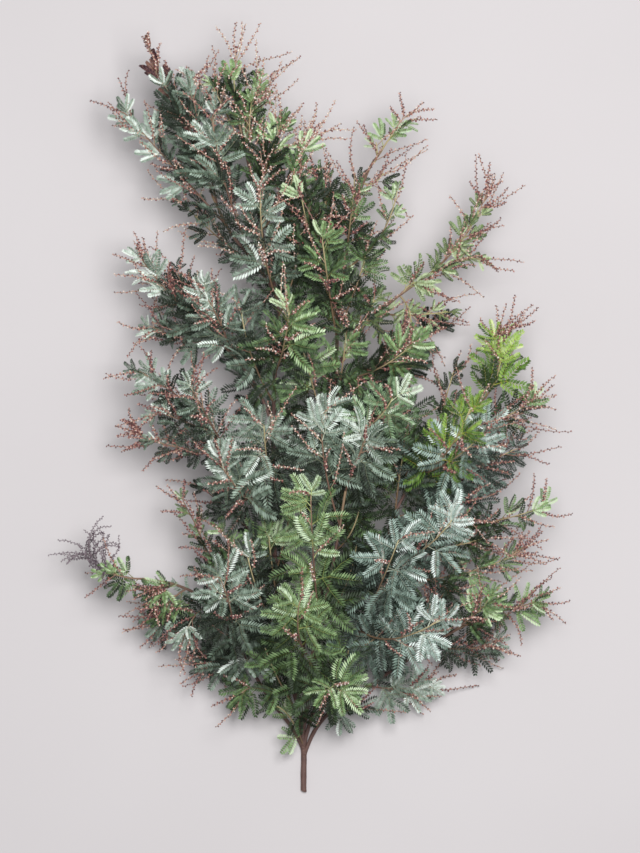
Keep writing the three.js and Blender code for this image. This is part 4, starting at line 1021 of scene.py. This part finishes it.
def add_heads(body, centre, ways, size, hue, luck):
    """Heads as two four-sided cones, base to base, that smooth shading rounds into a bead. Their hue is the
    raceme's + luck * variety, whose palest end is partly the buds' own pale tone and partly painted highlight.
    Red heads and dark ones each keep to their own range of it."""
    ring = np.arange(HEAD_SIDES) * 2 * np.pi / HEAD_SIDES
    corners = np.stack([0 * ring, np.cos(ring), np.sin(ring)], axis=-1)
    corners = np.concatenate([corners, [[-HEAD_LONG, 0, 0], [HEAD_LONG, 0, 0]]]) * size[..., None, None]
    vertices = centre[:, :, None] + sum(corners[..., k:k + 1] * way[:, :, None] for k, way in enumerate(ways))
    around = np.arange(HEAD_SIDES)
    beside = np.roll(around, -1)
    cone = np.concatenate([
        np.stack([np.full(HEAD_SIDES, HEAD_SIDES), beside, around], axis=-1),
        np.stack([np.full(HEAD_SIDES, HEAD_SIDES + 1), around, beside], axis=-1),
    ])
    count = len(centre) * HEADS
    faces = cone + (np.arange(count) * (HEAD_SIDES + 2))[:, None, None]
    red = np.clip(hue[:, None] + HEAD_HUE_AND_HIGHLIGHT_VARIETY * luck, RED_START, MOST_HUE)
    dark = np.clip(hue[:, None] + DARK_VARIETY * luck, LEAST_HUE, DARK_END)
    shade = np.where(hue[:, None] < DARK_END, dark, red).reshape(-1, 1, 1)
    flat = np.concatenate([np.stack([np.cos(ring), np.sin(ring)], axis=-1), [[0, 0], [0, 0]]])[cone]
    band = np.broadcast_to(UPPER + BAND / 2 + HEAD_BAND * flat[..., 1], (count, 2 * HEAD_SIDES, 3))
    body.add(vertices, faces, np.stack([shade + MARK_SPREAD * flat[..., 0], band], axis=-1))


def add_racemes(body, paths, phase, hue, head=1.0):
    """Racemes as a thin axis that carries its heads in a spiral by the golden angle. A head leans forward and
    stands out from the axis by its stalk + a share of its radius, which shrinks towards the tip. Heads and
    axes grow with the given size."""
    thin = np.broadcast_to(head**2 * np.linspace(*AXIS_RADIUS, RACEME_RINGS), paths.shape[:2])
    vertices, faces, grain = tubes(paths, thin, AXIS_SIDES)
    body.add(vertices, faces, tube_marks(grain, faces, hue, RIB))
    s = BARE_FOOT + (1 - BARE_FOOT) * (np.arange(HEADS) + 0.5) / HEADS
    slot = s * (RACEME_RINGS - 1)
    first = np.minimum(slot.astype(int), RACEME_RINGS - 2)
    step = paths[:, first + 1] - paths[:, first]
    base, ahead = paths[:, first] + step * (slot - first)[:, None], unit(step)
    turn = (GOLDEN_ANGLE * np.arange(HEADS) + HEAD_PHASES * phase[:, None])[..., None]
    level = unit(np.cross(ahead, ALMOST_UP))
    out = unit(level * np.cos(turn) + np.cross(level, ahead) * np.sin(turn) + HEAD_LEAN * ahead)
    aside = unit(np.cross(out, ahead))
    ways = out, aside, np.cross(out, aside)
    stalk = np.interp(s, [0, 1], HEAD_STALK)[:, None]
    add_stalks(body, base, ways, stalk, hue)
    seeds = np.arange(len(paths) * HEADS) * HEAD_SEED + int(HEAD_SEEDS * phase[0])
    luck = draws(seeds, 2).reshape(len(paths), HEADS, 2)
    size = head * np.interp(s, [0, 1], HEAD_RADIUS) * (LEAST_HEAD + HEAD_SIZES * luck[..., 0])
    centre = base + out * (stalk + size[..., None] * HEAD_OUT)
    add_heads(body, centre, ways, size, hue, luck[..., 1] - 0.5)


buds = Finish("Flower_buds")
place = buds.node("SeparateXYZ", {"Vector": buds.node("UVMap", uv_map="OFBake")})
# Heads run from dusky purple through rust-red to cream; the palest, near white, are partly painted highlight.
heads = buds.node("ValToRGB", {"Fac": place}, stops=[
    (0.0, "54444f"), (0.13, "9c8e95"), (0.2, "5c2f34"), (0.38, "8f504e"), (0.56, "bf827a"), (0.72, "e2bcae"),
    (0.86, "f3e0d6"), (1.0, "faf2ec"),
])
axes = buds.node("ValToRGB", {"Fac": place}, stops=[
    (0.0, "6a5b64"), (0.13, "8a7c80"), (0.3, "a8826f"), (0.6, "c4ac90"), (1.0, "d6ccae"),
])
buds_finish = buds.surface({
    "Base Color": buds.mixed(place.other(1) > (BELOW_FROM + RIBS_FROM) / 2, heads, axes),
    "Roughness": 0.5 + place * 0.1,
})
bunches = {}
for name, shoot in shoots.items():
    if shoot["racemes"]:
        fill = FILL.get(name, round(np.interp(shoot["face"], FACE_OF_COMB, (EDGE_FILL, COMB_FILL))))
        length = RACEME_LENGTH * SHORTER.get(name, 1)
        paths, phase, redness = raceme_paths(
            shoot["curve"], shoot["order"], shoot["racemes"], fill, length, **SHOOT_HABIT
        )
        hue = np.clip(HUE[shoot["fork"].split("_")[0]] + HUE_VARIETY * (redness - 0.5), *HUE_ENDS)
        add_racemes(bunches.setdefault(shoot["fork"], (Body(), []))[0], paths, phase, hue)
for order, (name, (length, turned, racemes, raceme_length)) in enumerate(SPRAYS.items(), FIRST_SPRAY):
    shoot, dark = shoots[name], name == DARK_SPRAY
    ahead = heading(shoot["curve"], np.array([1.0]))[0]
    start = shoot["curve"](1.0) + ahead * JOINT_GAP
    middle = start + ahead * length / 2
    curve = bend_curve(start, middle, middle + ahead * length / 2 + turned)
    fill = DARK_FILL if dark else FILL.get(name, SPRAY_FILL)
    habit = DARK_HABIT if dark else SPRAY_HABIT
    paths, phase, redness = raceme_paths(curve, order, racemes, fill, raceme_length, **habit)
    plain_hue = HUE[shoot["fork"].split("_")[0]], HUE_VARIETY
    base, variety = (DARK_HUE, DARK_HUE_VARIETY) if dark else plain_hue
    hue = np.clip(base + variety * (redness - 0.5), *HUE_ENDS)
    body, nodes = bunches.setdefault(shoot["fork"], (Body(), []))
    add_racemes(body, paths, phase, hue, DARK_HEAD if dark else 1)
    axis = curve(np.linspace(0, 1, RACEME_RINGS))[None]
    axis[:, 0] -= ahead
    vertices, faces, grain = tubes(axis, np.linspace(*SPRAY_RADIUS, RACEME_RINGS)[None], SPRAY_SIDES)
    body.add(vertices, faces, tube_marks(grain, faces, hue[:1], RIB))
    nodes.append(f"buds_{name}")
for fork, (body, nodes) in bunches.items():
    body.make(f"buds_{fork}", buds_finish, "buds", nodes)

# The table is a plain pale sheet of five metres, a fifth of a millimetre under the branch so that nothing
# shows through it. It is matt plaster with the faintest cloud.
TABLE_HALF, TABLE_DROP = 2.5, 0.0002
table_mesh = bpy.data.meshes.new("table")
square = np.array([[-1, -1, 0], [1, -1, 0], [1, 1, 0], [-1, 1, 0]]) * TABLE_HALF
table_mesh.from_pydata(square - [0, 0, TABLE_DROP], [], [(0, 1, 2, 3)])
table = bpy.data.objects.new("table", table_mesh)
bpy.context.collection.objects.link(table)
plaster = Finish("Table")
cloud = plaster.node("TexNoise", {
    "Vector": plaster.node("TexCoord", output=3), "Scale": 1.6, "Detail": 3.0,
})
table_mesh.materials.append(plaster.surface({
    "Base Color": plaster.mixed(cloud, linear("c9c4c5"), linear("d6d2d3")),
    "Roughness": 0.9,
}))

# Soft daylight: a pale sky all round, and one large panel 2.6 m above the branch, a little to the right of
# the top and turned towards its middle.
SKY_STRENGTH = 0.28
PANEL_POWER, PANEL_SIZE = 70, 1.0
PANEL_PLACE, PANEL_TURN = (0.24, 0.3, 2.6), (-0.115, 0.092, 0)
sky = bpy.data.worlds.new("Sky")
sky.use_nodes = True
sky.node_tree.nodes["Background"].inputs["Color"].default_value = linear("f2f3f6")
sky.node_tree.nodes["Background"].inputs["Strength"].default_value = SKY_STRENGTH
bpy.context.scene.world = sky
panel = bpy.data.lights.new("Panel", "AREA")
panel.energy = PANEL_POWER
panel.size = PANEL_SIZE
lamp = bpy.data.objects.new("Panel", panel)
lamp.location = PANEL_PLACE
lamp.rotation_euler = PANEL_TURN
bpy.context.collection.objects.link(lamp)

# The camera looks straight down from 4.5 m. At the height of the branch's middle it takes in 672 by 896 mm,
# which is the photograph's frame at 1.05 mm a pixel.
VIEW_LENGTH = 0.89565
VIEW_MIDDLE = (0.0101, -0.0165)
CAMERA_HEIGHT, MIDDLE_HEIGHT = 4.5, 0.1
SENSOR_LENGTH = 36
lens = bpy.data.cameras.new("Camera")
lens.sensor_fit = "VERTICAL"
lens.sensor_height = SENSOR_LENGTH
lens.lens = SENSOR_LENGTH * (CAMERA_HEIGHT - MIDDLE_HEIGHT) / VIEW_LENGTH
camera = bpy.data.objects.new("Camera", lens)
camera.location = (*VIEW_MIDDLE, CAMERA_HEIGHT)
bpy.context.collection.objects.link(camera)
bpy.context.scene.camera = camera
bpy.context.scene.view_settings.view_transform = "Standard"
